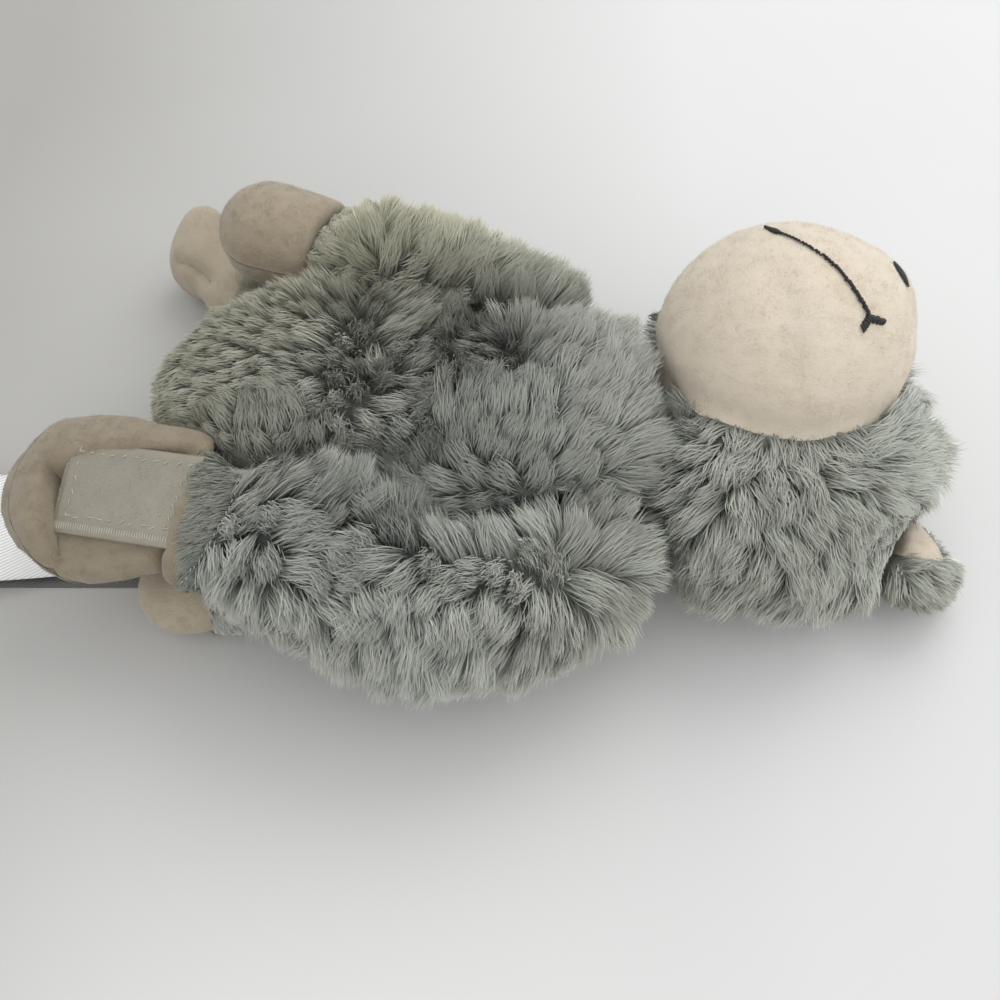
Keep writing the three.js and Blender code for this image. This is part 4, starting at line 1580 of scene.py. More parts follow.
COMB = strokes("""
350,222,0,-1 345,245,-0.1,-1 380,215,0,-1 400,240,0.5,-0.9 430,228,0.3,-1 455,238,0.5,-0.9 480,250,0.6,-0.8
500,265,0.7,-0.7 520,280,0.4,-0.9 545,290,0.5,-0.8 560,305,0.6,-0.8 590,330,0.4,-0.9 620,345,0.5,-0.8 645,352,0.5,-0.8
340,262,-0.8,-0.5 352,275,-0.9,-0.2 385,268,0.8,-0.4 395,290,1,0 400,310,1,0.05 380,330,0.9,0.1
440,265,0.4,-0.9 470,275,0.5,-0.8 490,290,0.3,-0.9 460,300,-0.3,0.8 480,320,-0.5,0.7
395,320,0.9,0.1 410,300,0.9,0.2 385,345,1,0.5 400,370,0.9,0.5 410,400,0.8,0.6 400,430,0.9,0.5
370,415,0.5,0.8 350,380,-0.5,0.8 345,350,-0.8,0.1 375,375,0.1,1 360,300,-0.7,0.4 370,270,-0.8,-0.4
200,320,-0.7,0.7 170,360,-1,0.3 160,390,-1,0.3 230,300,-0.3,-0.8 250,340,-0.8,0.5 260,380,-0.6,0.8 220,390,-0.7,0.6
300,290,-0.8,-0.2 310,340,-0.7,0.5 320,390,-0.3,0.9 290,260,-0.7,-0.7 340,430,0.5,0.8
440,400,0.3,-0.9 470,410,0.3,-0.9 500,410,0.3,-0.9 530,420,0.2,-1 450,440,0.4,-0.9 480,450,0.4,-0.9 510,455,0.4,-0.8
545,450,0.3,-0.9 570,470,0.5,-0.8 440,470,0.3,-0.9 540,490,0.5,-0.8 570,510,0.5,-0.8 500,515,-0.9,-0.4
520,505,-0.9,-0.3 470,495,-0.8,-0.4 450,480,-0.5,-0.7 470,345,-0.4,0.8 500,350,-0.5,0.6 450,375,-0.2,1 500,380,0.1,1
545,370,0.6,-0.8 555,345,0.7,-0.7 575,335,0.8,-0.6 560,395,0.5,-0.9 575,380,0.6,-0.8 600,400,0.5,-0.85
620,380,0.6,-0.8 620,420,0.7,-0.7 640,370,0.7,-0.6 650,400,0.8,-0.6 650,430,0.9,-0.4 665,390,0.8,-0.5
600,440,0.7,-0.7 610,470,0.8,-0.6 640,470,1,-0.1 660,450,1,-0.1 670,490,1,0 630,500,0.9,-0.4 640,530,0.9,-0.3
670,530,1,0.2 610,530,0.4,-0.9 600,500,0.7,-0.7 685,560,0.9,0.4 680,590,0.8,0.6
222,425,-0.3,-1 245,415,-0.1,-1 270,418,0.1,-1 300,430,0.2,-1 325,440,-0.1,-1 345,455,-0.4,-0.9 370,465,-0.5,-0.85
400,480,-0.55,-0.85 430,495,-0.55,-0.85 455,510,-0.5,-0.9 480,525,-0.5,-0.9 505,535,-0.5,-0.9 530,545,-0.45,-0.9
555,552,-0.3,-0.95 580,562,0.7,-0.7 610,568,1,-0.1 645,572,1,0.05 680,575,1,0.2
260,450,-0.1,-1 300,465,0.2,-0.8 335,490,0.4,-0.9 370,500,-0.5,-0.8 400,515,-0.6,-0.8 440,540,-0.5,-0.85
470,550,-0.4,-0.9
252,480,1,0.1 246,500,1,0.2 236,530,0.9,0.5 222,560,0.5,0.9 205,580,0.2,1 262,500,0.9,0.3 285,500,1,0.2
290,545,1,0.05 315,550,1,0.15 330,570,0.8,0.4 300,580,0.7,0.6 280,590,0.5,0.8
255,590,0.2,1 240,570,0.1,1 232,590,0.05,1 222,610,0.2,0.9 250,630,0.5,0.8 280,640,0.2,0.9
350,530,0.6,0.4 365,545,-0.5,0.6 380,560,-0.7,0.5 395,585,0,1 375,600,-0.3,0.9 350,590,0.3,0.9 400,620,-0.2,1
360,640,-0.1,1 330,640,-0.2,1 420,590,0.1,1 430,560,-0.1,1 440,600,-0.3,0.9 470,590,-0.5,0.8 450,650,-0.4,0.9
480,640,-0.5,0.85 500,600,-0.6,0.75 510,660,-0.4,0.9 530,600,-0.6,0.8 540,650,-0.35,0.95 560,610,-0.5,0.85
590,600,-0.1,1 570,640,0,1
600,640,0.4,0.9 625,600,0.8,0.5 640,620,0.7,0.7 570,680,0.1,1 650,595,0.9,0.4 440,690,-0.3,1 500,700,-0.2,1
675,380,-0.3,-1 690,405,-0.5,-0.8 705,425,-0.9,0.2 725,440,-0.6,0.8 745,447,-0.3,0.9 770,450,-0.1,1 800,450,0.2,1
830,447,0.5,0.8 860,438,0.8,0.2 885,427,0.8,-0.5 910,412,0.7,-0.7
700,440,-0.7,0.7 720,455,-0.6,0.8 745,465,-0.4,0.9 770,470,0.1,1 795,470,0.4,0.9 815,490,0.5,0.9 790,510,0.3,0.9
760,510,-0.2,1 730,500,-0.6,0.7 705,490,-0.8,0.5 700,540,-0.8,0.5 730,550,-0.6,0.8 760,550,-0.5,0.8 800,550,-0.2,0.9
835,530,0.2,1 850,470,0.8,-0.3 870,455,0.9,-0.4 900,440,0.9,-0.5 930,415,0.8,-0.6 865,490,0.6,0.6 890,480,0.8,0.2
920,470,1,0.1 945,450,1,0.1 945,500,0.8,0.6 900,505,0.6,0.7 870,515,0.2,1 840,570,-0.4,0.9 800,590,-0.6,0.8
760,595,-0.6,0.8 720,585,-0.8,0.7 870,590,-0.4,0.9 900,610,-0.1,1 920,570,0.7,0.6 930,600,0.6,0.8 940,580,0.9,0.4
""")
OWN_COMBS = {
    "left_cuff_pile": strokes("225,460,-0.9,0.3 215,490,-1,0.3 205,520,-1,0.4 195,550,-0.9,0.6 185,575,-0.7,0.9"),
}


def thread_mesh() -> bpy.types.Object:
    """Make one stitch: a short thread along X that arches up and dips into the cloth at both ends.

    Returns:
        The stitch.
    """
    sides, points, faces = 6, [], []
    rings = ((-0.42, 0.55, -0.35), (-0.25, 0.95, 0.25), (0.0, 1.0, 0.5), (0.25, 0.95, 0.25), (0.42, 0.55, -0.35))
    for x, wide, lift in rings:
        for turn in range(sides):
            angle = math.tau * turn / sides
            points.append((x, 0.5 * wide * math.cos(angle), 0.5 * wide * math.sin(angle) + 0.5 * lift))
    for ring in range(len(rings) - 1):
        for turn in range(sides):
            a, b = ring * sides + turn, ring * sides + (turn + 1) % sides
            faces.append((a, a + sides, b + sides, b))
    points += [(-0.5, 0, -0.4), (0.5, 0, -0.4)]
    last = (len(rings) - 1) * sides
    for turn in range(sides):
        following = (turn + 1) % sides
        faces.append((len(points) - 2, turn, following))
        faces.append((len(points) - 1, last + following, last + turn))
    mesh = bpy.data.meshes.new("stitch")
    mesh.from_pydata(points, [], faces)
    mesh.shade_smooth()
    return placed(bpy.data.objects.new("stitch", mesh))


class StitchTree(Maker):
    """The geometry node tree that sets stitches along a line on the cloth."""

    NAME = "stitch_run"
    TAKES = "Line"
    MATERIAL = "Thread Material"
    FIELDS = (
        ("Stitch", "NodeSocketObject", None), ("Spacing", "NodeSocketFloat", 0.001),
        ("Stitch Length", "NodeSocketFloat", 0.001), ("Thread Width", "NodeSocketFloat", 0.0003),
        ("Slant", "NodeSocketFloat", 0.0), ("Unevenness", "NodeSocketFloat", 0.1),
        ("Seed", "NodeSocketInt", 1), ("Thread Material", "NodeSocketMaterial", None),
    )

    def grow(self) -> bpy.types.NodeSocket:
        """Set a stitch at even steps of the line, each a little astray.

        Returns:
            The stitches.
        """
        g, given = self.g, self.given
        curve = g.add("GeometryNodeMeshToCurve", {"Mesh": given["Line"]}).outputs[0]
        even = g.add("GeometryNodeResampleCurve", {"Curve": curve, "Length": given["Spacing"]}, mode="LENGTH")
        rise, size = g.read("rise"), g.read("size", "FLOAT")
        along = g.add("GeometryNodeInputTangent").outputs[0]
        index = g.add("GeometryNodeInputIndex").outputs[0]
        chance = g.chance(g.joined(index, given["Seed"], 0.5))
        turn = g.math("MULTIPLY_ADD", g.split(chance)[0], g.times(given["Unevenness"], 2.0), given["Slant"])
        across = g.vector("CROSS_PRODUCT", rise, along)
        lie = g.sum(g.scaled(along, g.math("COSINE", turn)), g.scaled(across, g.math("SINE", turn)))
        way = g.add("FunctionNodeAxesToRotation", {"Primary Axis": rise, "Secondary Axis": lie},
                    primary_axis="Z", secondary_axis="X").outputs[0]
        vary = g.math("MULTIPLY_ADD", g.split(chance)[1], given["Unevenness"], 1.0)
        long = g.times(g.times(given["Stitch Length"], size), vary)
        wide = g.times(given["Thread Width"], g.math("MULTIPLY_ADD", size, 0.4, 0.6))
        slip = g.times(g.split(chance)[2], g.times(given["Spacing"], given["Unevenness"]))
        drift = g.times(slip, 0.5)
        astray = g.add("GeometryNodeSetPosition",
                       {"Geometry": even, "Offset": g.sum(g.scaled(along, slip), g.scaled(across, drift))})
        return self.spread(astray, "Stitch", Rotation=way, Scale=g.joined(long, wide, wide))


@dataclass(frozen=True)
class Run:
    """One run of stitches: places in the picture, with how large the stitches are at each."""

    places: tuple[tuple[float, float, float], ...]
    spacing: float
    long: float
    wide: float
    slant: float = 0.0
    uneven: float = 0.12
    lift: float = 0.1 * MM


def run(rows: str, spacing: float, long: float, wide: float, slant: float = 0.0, uneven: float = 0.12,
        lift: float = 0.1) -> Run:
    """Read a run of stitches from rows of x, y and size, with its lengths in millimetres."""
    return Run(tuple(numbers(rows)), spacing * MM, long * MM, wide * MM, math.radians(slant), uneven, lift * MM)


@dataclass(frozen=True)
class Line:
    """A line on the cloth: its points, their normals, how large the stitches are there, and their run."""

    points: np.ndarray
    normals: np.ndarray
    sizes: np.ndarray
    run: Run


@dataclass
class Sewer:
    """Sews runs of stitches onto cloth."""

    tree: StitchTree = field(default_factory=StitchTree)
    thread: bpy.types.Object = field(default_factory=thread_mesh)
    count: int = 0

    def line(self, cloth: BVHTree, stitches: Run, home: tuple[float, float]) -> Line:
        """Lay a run's line on the cloth.

        Args:
            cloth: The cloth's outer face.
            stitches: The run.
            home: A place in the picture that lies on the cloth.

        Returns:
            The line.
        """
        rows = np.array(stitches.places)
        share = np.linspace(0, len(rows) - 1, 1 + 8 * (len(rows) - 1))
        spots = np.column_stack([np.interp(share, np.arange(len(rows)), rows[:, i]) for i in range(3)])
        for _ in range(3):
            spots[1:-1] = 0.5 * spots[1:-1] + 0.25 * (spots[:-2] + spots[2:])
        found = [VIEW.land(cloth, x, y, home) for x, y, _ in spots]
        return Line(np.array([f[0] for f in found]), np.array([f[1] for f in found]), spots[:, 2], stitches)

    def sew(self, name: str, lines: list[Line], finish: Finish, body: str) -> bpy.types.Object:
        """Sew the runs of one piece and join them.

        Args:
            name: What the piece is called.
            lines: The lines.
            finish: The thread.
            body: The body that the cloth belongs to.

        Returns:
            The piece.
        """
        bm = bmesh.new()
        for line in lines:
            self.count += 1
            mesh = bpy.data.meshes.new(f"{name}_line")
            ends, stitches = line.points + line.normals * line.run.lift, line.run
            mesh.from_pydata(ends.tolist(), [(i, i + 1) for i in range(len(ends) - 1)], [])
            note(mesh, rise=line.normals, size=line.sizes)
            bm.from_mesh(self.tree.work(placed(bpy.data.objects.new(f"{name}_line", mesh)), name, {
                "Stitch": self.thread, "Spacing": stitches.spacing, "Stitch Length": stitches.long,
                "Thread Width": stitches.wide, "Slant": stitches.slant, "Unevenness": stitches.uneven,
                "Seed": self.count, "Thread Material": finish.material(),
            }))
        whole = emptied(bm, name)
        whole.materials.append(finish.material())
        whole.shade_smooth()
        piece = placed(bpy.data.objects.new(name, whole))
        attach(piece, body)
        return piece


MID_FACE = (850, 300)


def long_axis(node: str) -> tuple[np.ndarray, np.ndarray]:
    """Find the long axis of a small CAD node.

    Args:
        node: The node.

    Returns:
        The two ends.
    """
    points = corners_of(node)
    middle = points.mean(0)
    axis = np.linalg.svd(points - middle, full_matrices=False)[2][0]
    reach = (points - middle) @ axis
    return middle + axis * reach.min(), middle + axis * reach.max()


def leaf(node: str, cloth: BVHTree, wide: float, past: float, lift: float = 0.3 * MM,
         ends: tuple[tuple[float, float], ...] = ()) -> Line:
    """Fill a small leaf shape with satin stitches where a CAD node is.

    Args:
        node: The CAD node that the leaf stands for.
        cloth: The cloth's outer face.
        wide: How wide the leaf is at its middle.
        past: How far the leaf lies past the CAD node, away from the camera.
        lift: How far the thread stands over the cloth.
        ends: Where its ends come in the picture, if it is seen.

    Returns:
        The line of its stitches.
    """
    start, end = (spot + past * unit(spot - np.array(VIEW.place)) for spot in long_axis(node))
    if ends:
        start, end = (VIEW.land(cloth, *place, MID_FACE)[0] for place in ends)
    shares = np.linspace(0.0, 1.0, 17)
    found = [cloth.find_nearest(Vector(start + (end - start) * share)) for share in shares]
    points = np.array([f[0] for f in found])
    normals = np.array([f[1] for f in found])
    sizes = np.sin(np.pi * (0.06 + 0.88 * shares)) ** 0.8
    return Line(points, normals, sizes, Run((), 0.28 * MM, wide, 0.42 * MM, math.radians(84), 0.05, lift))


TORSO_TRIMS = trims("""
541,391,12,0.55 557,419,12,0.55 584,438,12,0.55 586,468,12,0.55 626,503,12,0.55 624,536,12,0.55
428,290,12,0.5 428,320,12,0.5 430,350,12,0.5 430,380,11,0.55 428,415,10,0.6 480,345,20,0.7 510,370,20,0.7
560,360,30,1.1 670,470,50,1.2
""")
ARM_TRIMS = trims("""
248,470,13,0.6 246,490,12,0.6 238,510,12,0.6 226,535,13,0.6 208,560,15,0.6 190,582,18,0.5 185,605,26,0.4
205,600,18,0.6 460,500,12,0.5 500,512,12,0.5 540,524,12,0.5 580,538,12,0.55 450,530,14,1.15 490,548,14,1.15
483,563,9,0.6 505,568,9,0.6 530,572,9,0.6 555,576,9,0.6
""")
FAR_ARM_TRIMS = trims("""
335,225,26,0.4 325,255,26,0.4 318,205,26,0.35 345,200,20,0.45 365,200,26,0.55 400,200,30,0.6 440,215,30,0.7
480,232,30,0.75 345,185,26,0.4
""")
HOOD_TRIMS = trims("""
885,520,24,0.35 910,515,24,0.35 885,542,24,0.2 905,545,20,0.2 865,540,18,0.4 940,530,20,0.5
695,412,15,0.5 715,428,12,0.5 740,438,12,0.5 770,444,12,0.5 800,446,12,0.5 830,443,12,0.5 860,436,12,0.5
885,427,12,0.5 910,412,15,0.5
""")
FAR_EAR_TRIMS = trims("655,300,60,0.1")
NEAR_EAR_TRIMS = trims("962,590,22,0.45 940,615,18,0.6")
LEG_TRIMS = trims("195,240,60,0.25 165,300,40,0.4 200,290,40,0.4 215,600,50,0.35")
NEAR_WRIST = ((222, 420), (214, 445), (206, 490), (194, 540), (181, 576), (172, 610))
NEAR_CUFF = ((272, 420), (258, 455), (245, 487), (220, 541), (192, 572), (180, 600))
FAR_FOOT = ((248, 180), (248, 330))
EAR_ABOVE = ((1000, 500), (1000, 556), (0, 561), (0, 640))
EAR_BELOW = ((0, 500), (0, 558), (1000, 563), (1000, 640))
FAR_FOOT_DENTS = dents("""
186,248,8,4,0.2,-1 204,240,8,6,0.1,-1 204,238,5,2.2 181,271,2.2,1.6 190,277,2.2,1.8 200,283,2.2,1.8
209,288,2.2,1.6 190,298,9,4.2,0.1,-1
""")
VALLEY_DENTS = dents("370,362,5,5 415,400,6,3")
NEAR_EAR_DENTS = dents("922,532,9,5,1,-0.35 955,588,8,3.5,-1,0")
FAR_EAR_DENTS = dents("652,322,12,6,1,0.1")
NEAR_ARM_DENTS = dents("""
460,500,6,2 500,512,6,2 540,524,6,2 580,538,6,2 206,455,5,1.3 200,485,5,1.5 193,515,5,1.5 185,545,5,1.3
""")
FAR_PAW_DENTS = dents("336,203,7,4,-0.6,0.8 325,195,6,2,-0.2,0.9")
FACE_DENTS = dents("893,282,8,2,0.9,-0.4 773,275,3,0.5 781,295,3,0.5 788,314,3,0.5 789,340,3,0.5 788,367,3,0.5")


# Sub-assemblies


@dataclass
class StuffedPart:
    """One stuffed body with its sewn panels, its pile and its filling."""

    form: SoftForm
    names: dict[str, str]
    piles: dict[str, Pile]
    fill: float = 0.7
    thick: float = 1.1 * MM
    filling_gap: float = 0.5 * MM
    velour: Finish = VELOUR
    cuff: Finish = SHADED_CUFF_PLUSH
    cuts: tuple[Trim, ...] = ()
    seams: tuple[MovedSeam, ...] = ()
    stands: dict[str, str] = field(default_factory=dict)
    outer: dict[str, Shell] = field(default_factory=dict)

    def sculpt(self) -> None:
        """Change the form before it is cut into panels."""

    def move_seams(self) -> None:
        """Let the cloth beyond each moved seam join its new panel."""
        shell = self.form.shell
        centres = shell.centres()
        seen = VIEW.picture(centres)
        normals = shell.normals()[shell.faces].mean(1)
        facing = VIEW.facing(centres, normals) > 0
        names = list(self.form.panels)
        for seam in self.seams:
            line = np.array(seam.line)
            beyond = (seen[:, 0] < np.interp(seen[:, 1], line[:, 1], line[:, 0])) & (facing | (not seam.seen))
            chosen = beyond & np.isin(self.form.labels, [names.index(n) for n in seam.of])
            self.form.labels[chosen] = names.index(seam.to)

    def surface(self) -> BVHTree:
        """Make a search tree of the whole outer face.

        Returns:
            The search tree.
        """
        points, faces = [], []
        for shell in self.outer.values():
            faces += (shell.faces + len(points)).tolist()
            points += shell.points.tolist()
        return Shell(np.array(points), np.array(faces)).tree()

    def fall(self, outer: Shell, panel: str) -> np.ndarray:
        """Give the lie of the pile out of sight: towards the rump and down."""
        return np.tile(np.array((-0.6, 0.0, -0.8)), (len(outer.points), 1))

    def scale(self, outer: Shell, panel: str) -> np.ndarray:
        """Work out how long the pile is at each point.

        Args:
            outer: The panel's outer face.
            panel: The panel's node, not used here.

        Returns:
            The share at each point.
        """
        seen = VIEW.picture(outer.points)
        seen_side = smoothstep(-0.5, -0.1, VIEW.facing(outer.points, outer.normals()))
        share = np.ones(len(outer.points))
        for trim in self.cuts:
            near = np.exp(-(((seen[:, 0] - trim.x) ** 2 + (seen[:, 1] - trim.y) ** 2) / trim.radius**2))
            share *= 1 + (trim.share - 1) * near * seen_side
        return share

    def dress(self, groomer: Groomer, others: BVHTree) -> list[bpy.types.Object]:
        """Make the part's pieces from its blown form.

        Args:
            groomer: Who combs and grows the pile.
            others: The solids of the other bodies.

        Returns:
            The pieces.
        """
        form, pieces = self.form, []
        form.press()
        form.label()
        self.sculpt()
        self.move_seams()
        for panel, cover in form.panels.items():
            short = self.names[panel]
            outer, closed = form.patch(panel, self.thick)
            self.outer[panel] = outer
            finish = {Cover.FUR: PLUSH, Cover.CUFF: self.cuff, Cover.VELOUR: self.velour}[cover]
            skin = closed.object(f"{short}_cloth")
            skin.data.materials.append(finish.material())
            self.settle(skin)
            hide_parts(self.stands.get(panel, panel))
            pieces.append(skin)
            if panel in self.piles:
                pile = groomer.grow(f"{short}_pile", outer, self.piles[panel].value, self.fall(outer, panel),
                                    self.scale(outer, panel), others, finish)
                self.settle(pile)
                pieces.append(pile)
        bpy.data.objects.remove(form.thing)
        if not form.stuffing:
            return pieces
        inside = form.shell.points - form.shell.normals() * self.filling_gap
        filling = Shell(inside, form.shell.faces).object(f"{form.body}_filling")
        filling.data.materials.append(WADDING.material())
        self.settle(filling)
        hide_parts(form.stuffing)
        return [*pieces, filling]

    def settle(self, piece: bpy.types.Object) -> None:
        """Let a piece ride on its body."""
        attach(piece, self.form.body)


class Torso(StuffedPart):
    """The long body with its belly, yoke and back."""

    def scale(self, outer: Shell, panel: str) -> np.ndarray:
        """Give a shorter, smoother pile over the rump."""
        rump = smoothstep(-0.03, -0.055, outer.points[:, 0]) if panel == "belly_fur_panel" else 0
        return super().scale(outer, panel) * (1 - 0.45 * rump)


class Head(StuffedPart):
    """The velour face ball in its fur hood."""

    def fall(self, outer: Shell, panel: str) -> np.ndarray:
        """Let the hood's pile run away from the face."""
        low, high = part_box("face_velour_panel")
        return outer.points - np.array((low + high) / 2) + np.array((0, 0, -0.01))


class Limb(StuffedPart):
    """An arm with its cuff, or a leg with its foot."""


class Ear(StuffedPart):
    """A small flat ear."""

    def fall(self, outer: Shell, panel: str) -> np.ndarray:
        """Let the pile run out to the ear's rim."""
        return outer.points - outer.points.mean(0) + np.array((0, 0, -0.004))


@dataclass
class Paw(StuffedPart):
    """A velour paw with a square of touch tape on its palm."""

    tape: str = ""
    over: StuffedPart | None = None
    rim: float = 0.0
    tuck: float = 4.0 * MM
    lip: float = 5.0 * MM
    well: float = 0.9 * MM
    clear: float = 0.8 * MM
    bed: tuple[float, float] = (13 * MM, 8.6 * MM)

    def tape_frame(self) -> tuple[np.ndarray, np.ndarray]:
        """Measure the CAD tape.

        Returns:
            The tape's middle, and its long, short and thin axes as rows.
        """
        points = corners_of(self.tape)
        middle = (points.min(0) + points.max(0)) / 2
        axes = np.linalg.svd(points - points.mean(0), full_matrices=False)[2]
        inside = self.form.shell.points.mean(0)
        if (middle - inside) @ axes[2] < 0:
            axes[2] *= -1
        return middle, axes

    def sculpt(self) -> None:
        """Cup the palm round its tape, and lap its heel over the arm."""
        if not self.rim:
            return
        middle, axes = self.tape_frame()
        place = (self.form.shell.points - middle) @ axes.T
        tip = -np.sign(axes[0][0]) * place[:, 0]
        self.cup(axes, place, tip)
        self.lap(axes, tip)

    def cup(self, axes: np.ndarray, place: np.ndarray, tip: np.ndarray) -> None:
        """Raise the palm's rim, most at the tip and on the far side, and sink the tape's bed.

        Args:
            axes: The tape's axes as rows.
            place: Where each point is along them.
            tip: How far each point is towards the tip.
        """
        shell = self.form.shell
        far = np.sign(axes[1][1]) * place[:, 1]
        past = np.maximum(np.abs(place[:, :2]) - np.array(self.bed), 0)
        away = np.hypot(past[:, 0], past[:, 1])
        palm = smoothstep(-0.1, 0.6, shell.normals() @ axes[2])
        end = smoothstep(8 * MM, 15 * MM, tip) * smoothstep(-16 * MM, -2 * MM, far)
        side = np.maximum(smoothstep(-4 * MM, 8 * MM, far), end)
        wrist = smoothstep(-16 * MM, -8 * MM, tip)
        crest = smoothstep(0.2 * MM, 3.0 * MM, away)
        sunk = 1 - smoothstep(0, 2.4 * MM, away)
        lift = palm * (self.rim * side * wrist * crest - self.well * sunk)
        shell.points = shell.points + axes[2] * shell.smooth(lift, 5)[:, None]

    def lap(self, axes: np.ndarray, tip: np.ndarray) -> None:
        """Tuck the tip in, and let the palm's heel lie over the arm's end.

        Args:
            axes: The tape's axes as rows.
            tip: How far each point is towards the tip.
        """
        shell = self.form.shell
        inward = np.sign(axes[0][0]) * axes[0]
        shell.points = shell.points + inward * (self.tuck * smoothstep(8 * MM, 22 * MM, tip))[:, None]
        upward = smoothstep(-0.8, 0.1, shell.normals() @ axes[2])
        lap = shell.smooth(smoothstep(9 * MM, 14 * MM, -tip) * upward, 3)
        shell.points = shell.points + inward * (self.lip * lap)[:, None]
        arm = self.over.surface()
        rise = np.zeros(len(shell.points))
        for index in np.flatnonzero(lap > 0.02):
            start = Vector(shell.points[index] + axes[2] * 20 * MM)
            hit = arm.ray_cast(start, Vector(-axes[2]))
            if hit[0] is not None:
                over = (np.array(hit[0]) - shell.points[index]) @ axes[2] - self.clear
                rise[index] = max(0.0, over) * lap[index]
        ramp = np.maximum(rise, 1.6 * shell.smooth(rise, 60, 0.7) * upward)
        shell.points = shell.points + axes[2] * shell.smooth(ramp, 4)[:, None]


@dataclass
class TouchTape:
    """The square of touch tape on a palm, with its hooks or loops, its selvedge and its seam."""

    node: str
    body: str
    name: str
    corners: tuple[tuple[float, float], ...] | None = None
    thick: float = 0.9 * MM
    columns: int = 109
    rows: int = 37
    seam: tuple[tuple[float, float], ...] = ((0.1, 0.12), (0.93, 0.1), (0.93, 0.8), (0.12, 0.8), (0.1, 0.12))
    zigzag: Run = Run((), 2.2 * MM, 1.4 * MM, 0.24 * MM, 0.3, 0.45, 0.08 * MM)
    ribbing: Run = Run((), 0.56 * MM, 1.8 * MM, 0.2 * MM, math.pi / 2, 0.02, 0.0)
    hooks: Run = Run((), 1.25 * MM, 0.42 * MM, 0.12 * MM, 0.6, 1.6, 0.06 * MM)

    def lay(self, palm: Paw) -> tuple[np.ndarray, np.ndarray]:
        """Find where the points of the tape's grid meet the palm.

        Args:
            palm: The paw that carries it.

        Returns:
            The grid, and the normal of the whole tape at each of its points.
        """
        cloth = palm.surface()
        middle, axes = palm.tape_frame()
        half = np.percentile(np.abs((corners_of(self.node) - middle) @ axes.T), 96, axis=0)
        top, normals = np.zeros((self.rows, self.columns, 3)), np.zeros((self.rows, self.columns, 3))
        for row, column in np.ndindex(self.rows, self.columns):
            a, b = column / (self.columns - 1), row / (self.rows - 1)
            if self.corners:
                c = np.array(self.corners)
                spot = (c[0] * (1 - a) + c[1] * a) * (1 - b) + (c[3] * (1 - a) + c[2] * a) * b
                found = VIEW.land(cloth, *spot, tuple(c.mean(0)))
            else:
                start = middle + axes[0] * half[0] * (2 * a - 1) + axes[1] * half[1] * (2 * b - 1)
                found = cloth.ray_cast(Vector(start + axes[2] * 10 * MM), Vector(-axes[2]))
                found = found if found[0] is not None else cloth.find_nearest(Vector(start))
            top[row, column], normals[row, column] = found[0], found[1]
        normals[:] = unit(normals.reshape(-1, 3).mean(0))
        return top, normals

    def drape(self, top: np.ndarray, normals: np.ndarray) -> np.ndarray:
        """Span the palm's hollows: the tape with given corners is stiff, the other one lies loose.

        Args:
            top: The grid on the palm.
            normals: The tape's normals.

        Returns:
            The grid as the tape lies.
        """
        if not self.corners:
            loose = top.copy()
            for _ in range(6):
                loose[1:-1, 1:-1] = 0.5 * loose[1:-1, 1:-1] + 0.125 * (
                    loose[:-2, 1:-1] + loose[2:, 1:-1] + loose[1:-1, :-2] + loose[1:-1, 2:])
            return loose
        across, down = (v.ravel() for v in np.meshgrid(np.linspace(0, 1, self.columns), np.linspace(0, 1, self.rows)))
        terms = np.column_stack((np.ones_like(across), across, down, across * down, across**2, down**2))
        stiff = (terms @ np.linalg.lstsq(terms, top.reshape(-1, 3), rcond=None)[0]).reshape(top.shape)
        proud = ((top - stiff) * normals).sum(2)
        return stiff + normals * max(0.0, np.percentile(proud, 88) - 0.3 * self.thick)

    def heights(self) -> np.ndarray:
        """Ease the tape's edges and lay its lower, ribbed selvedge.

        Returns:
            How high each point of the grid stands.
        """
        a = np.arange(self.columns)[None] / (self.columns - 1)
        b = np.arange(self.rows)[:, None] / (self.rows - 1)
        edge = np.minimum(np.minimum(a, 1 - a) * 28, np.minimum(b, 1 - b) * 19)
        selvedge = smoothstep(0.83, 0.87, b) * np.ones_like(a)
        ribs = np.arange(self.columns) % 2 * 0.1 * MM
        return self.thick * (0.55 + 0.45 * smoothstep(0.2, 1.4, edge)) * (1 - 0.25 * selvedge) + ribs[None] * selvedge

    def slab(self, upper: np.ndarray, lower: np.ndarray, normal: np.ndarray) -> Shell:
        """Close the space between two grids.

        Args:
            upper: The outer grid.
            lower: The grid in the palm.
            normal: Which way the outer grid faces.

        Returns:
            The closed tape.
        """
        count = self.rows * self.columns
        grid = np.arange(count).reshape(self.rows, self.columns)
        quads = np.stack((grid[:-1, :-1], grid[:-1, 1:], grid[1:, 1:], grid[1:, :-1]), -1).reshape(-1, 4)
        rim = np.concatenate((grid[0], grid[1:, -1], grid[-1, -2::-1], grid[-2:0:-1, 0]))
        after = np.roll(rim, -1)
        sides = np.column_stack((rim, after, after + count, rim + count))
        faces = np.concatenate((quads, quads[:, ::-1] + count, sides[:, ::-1]))
        shell = Shell(np.concatenate((upper.reshape(-1, 3), lower.reshape(-1, 3))), faces)
        if shell.part(np.arange(len(faces)) < len(quads)).normals().mean(0) @ normal < 0:
            shell.faces = shell.faces[:, ::-1].copy()
        return shell

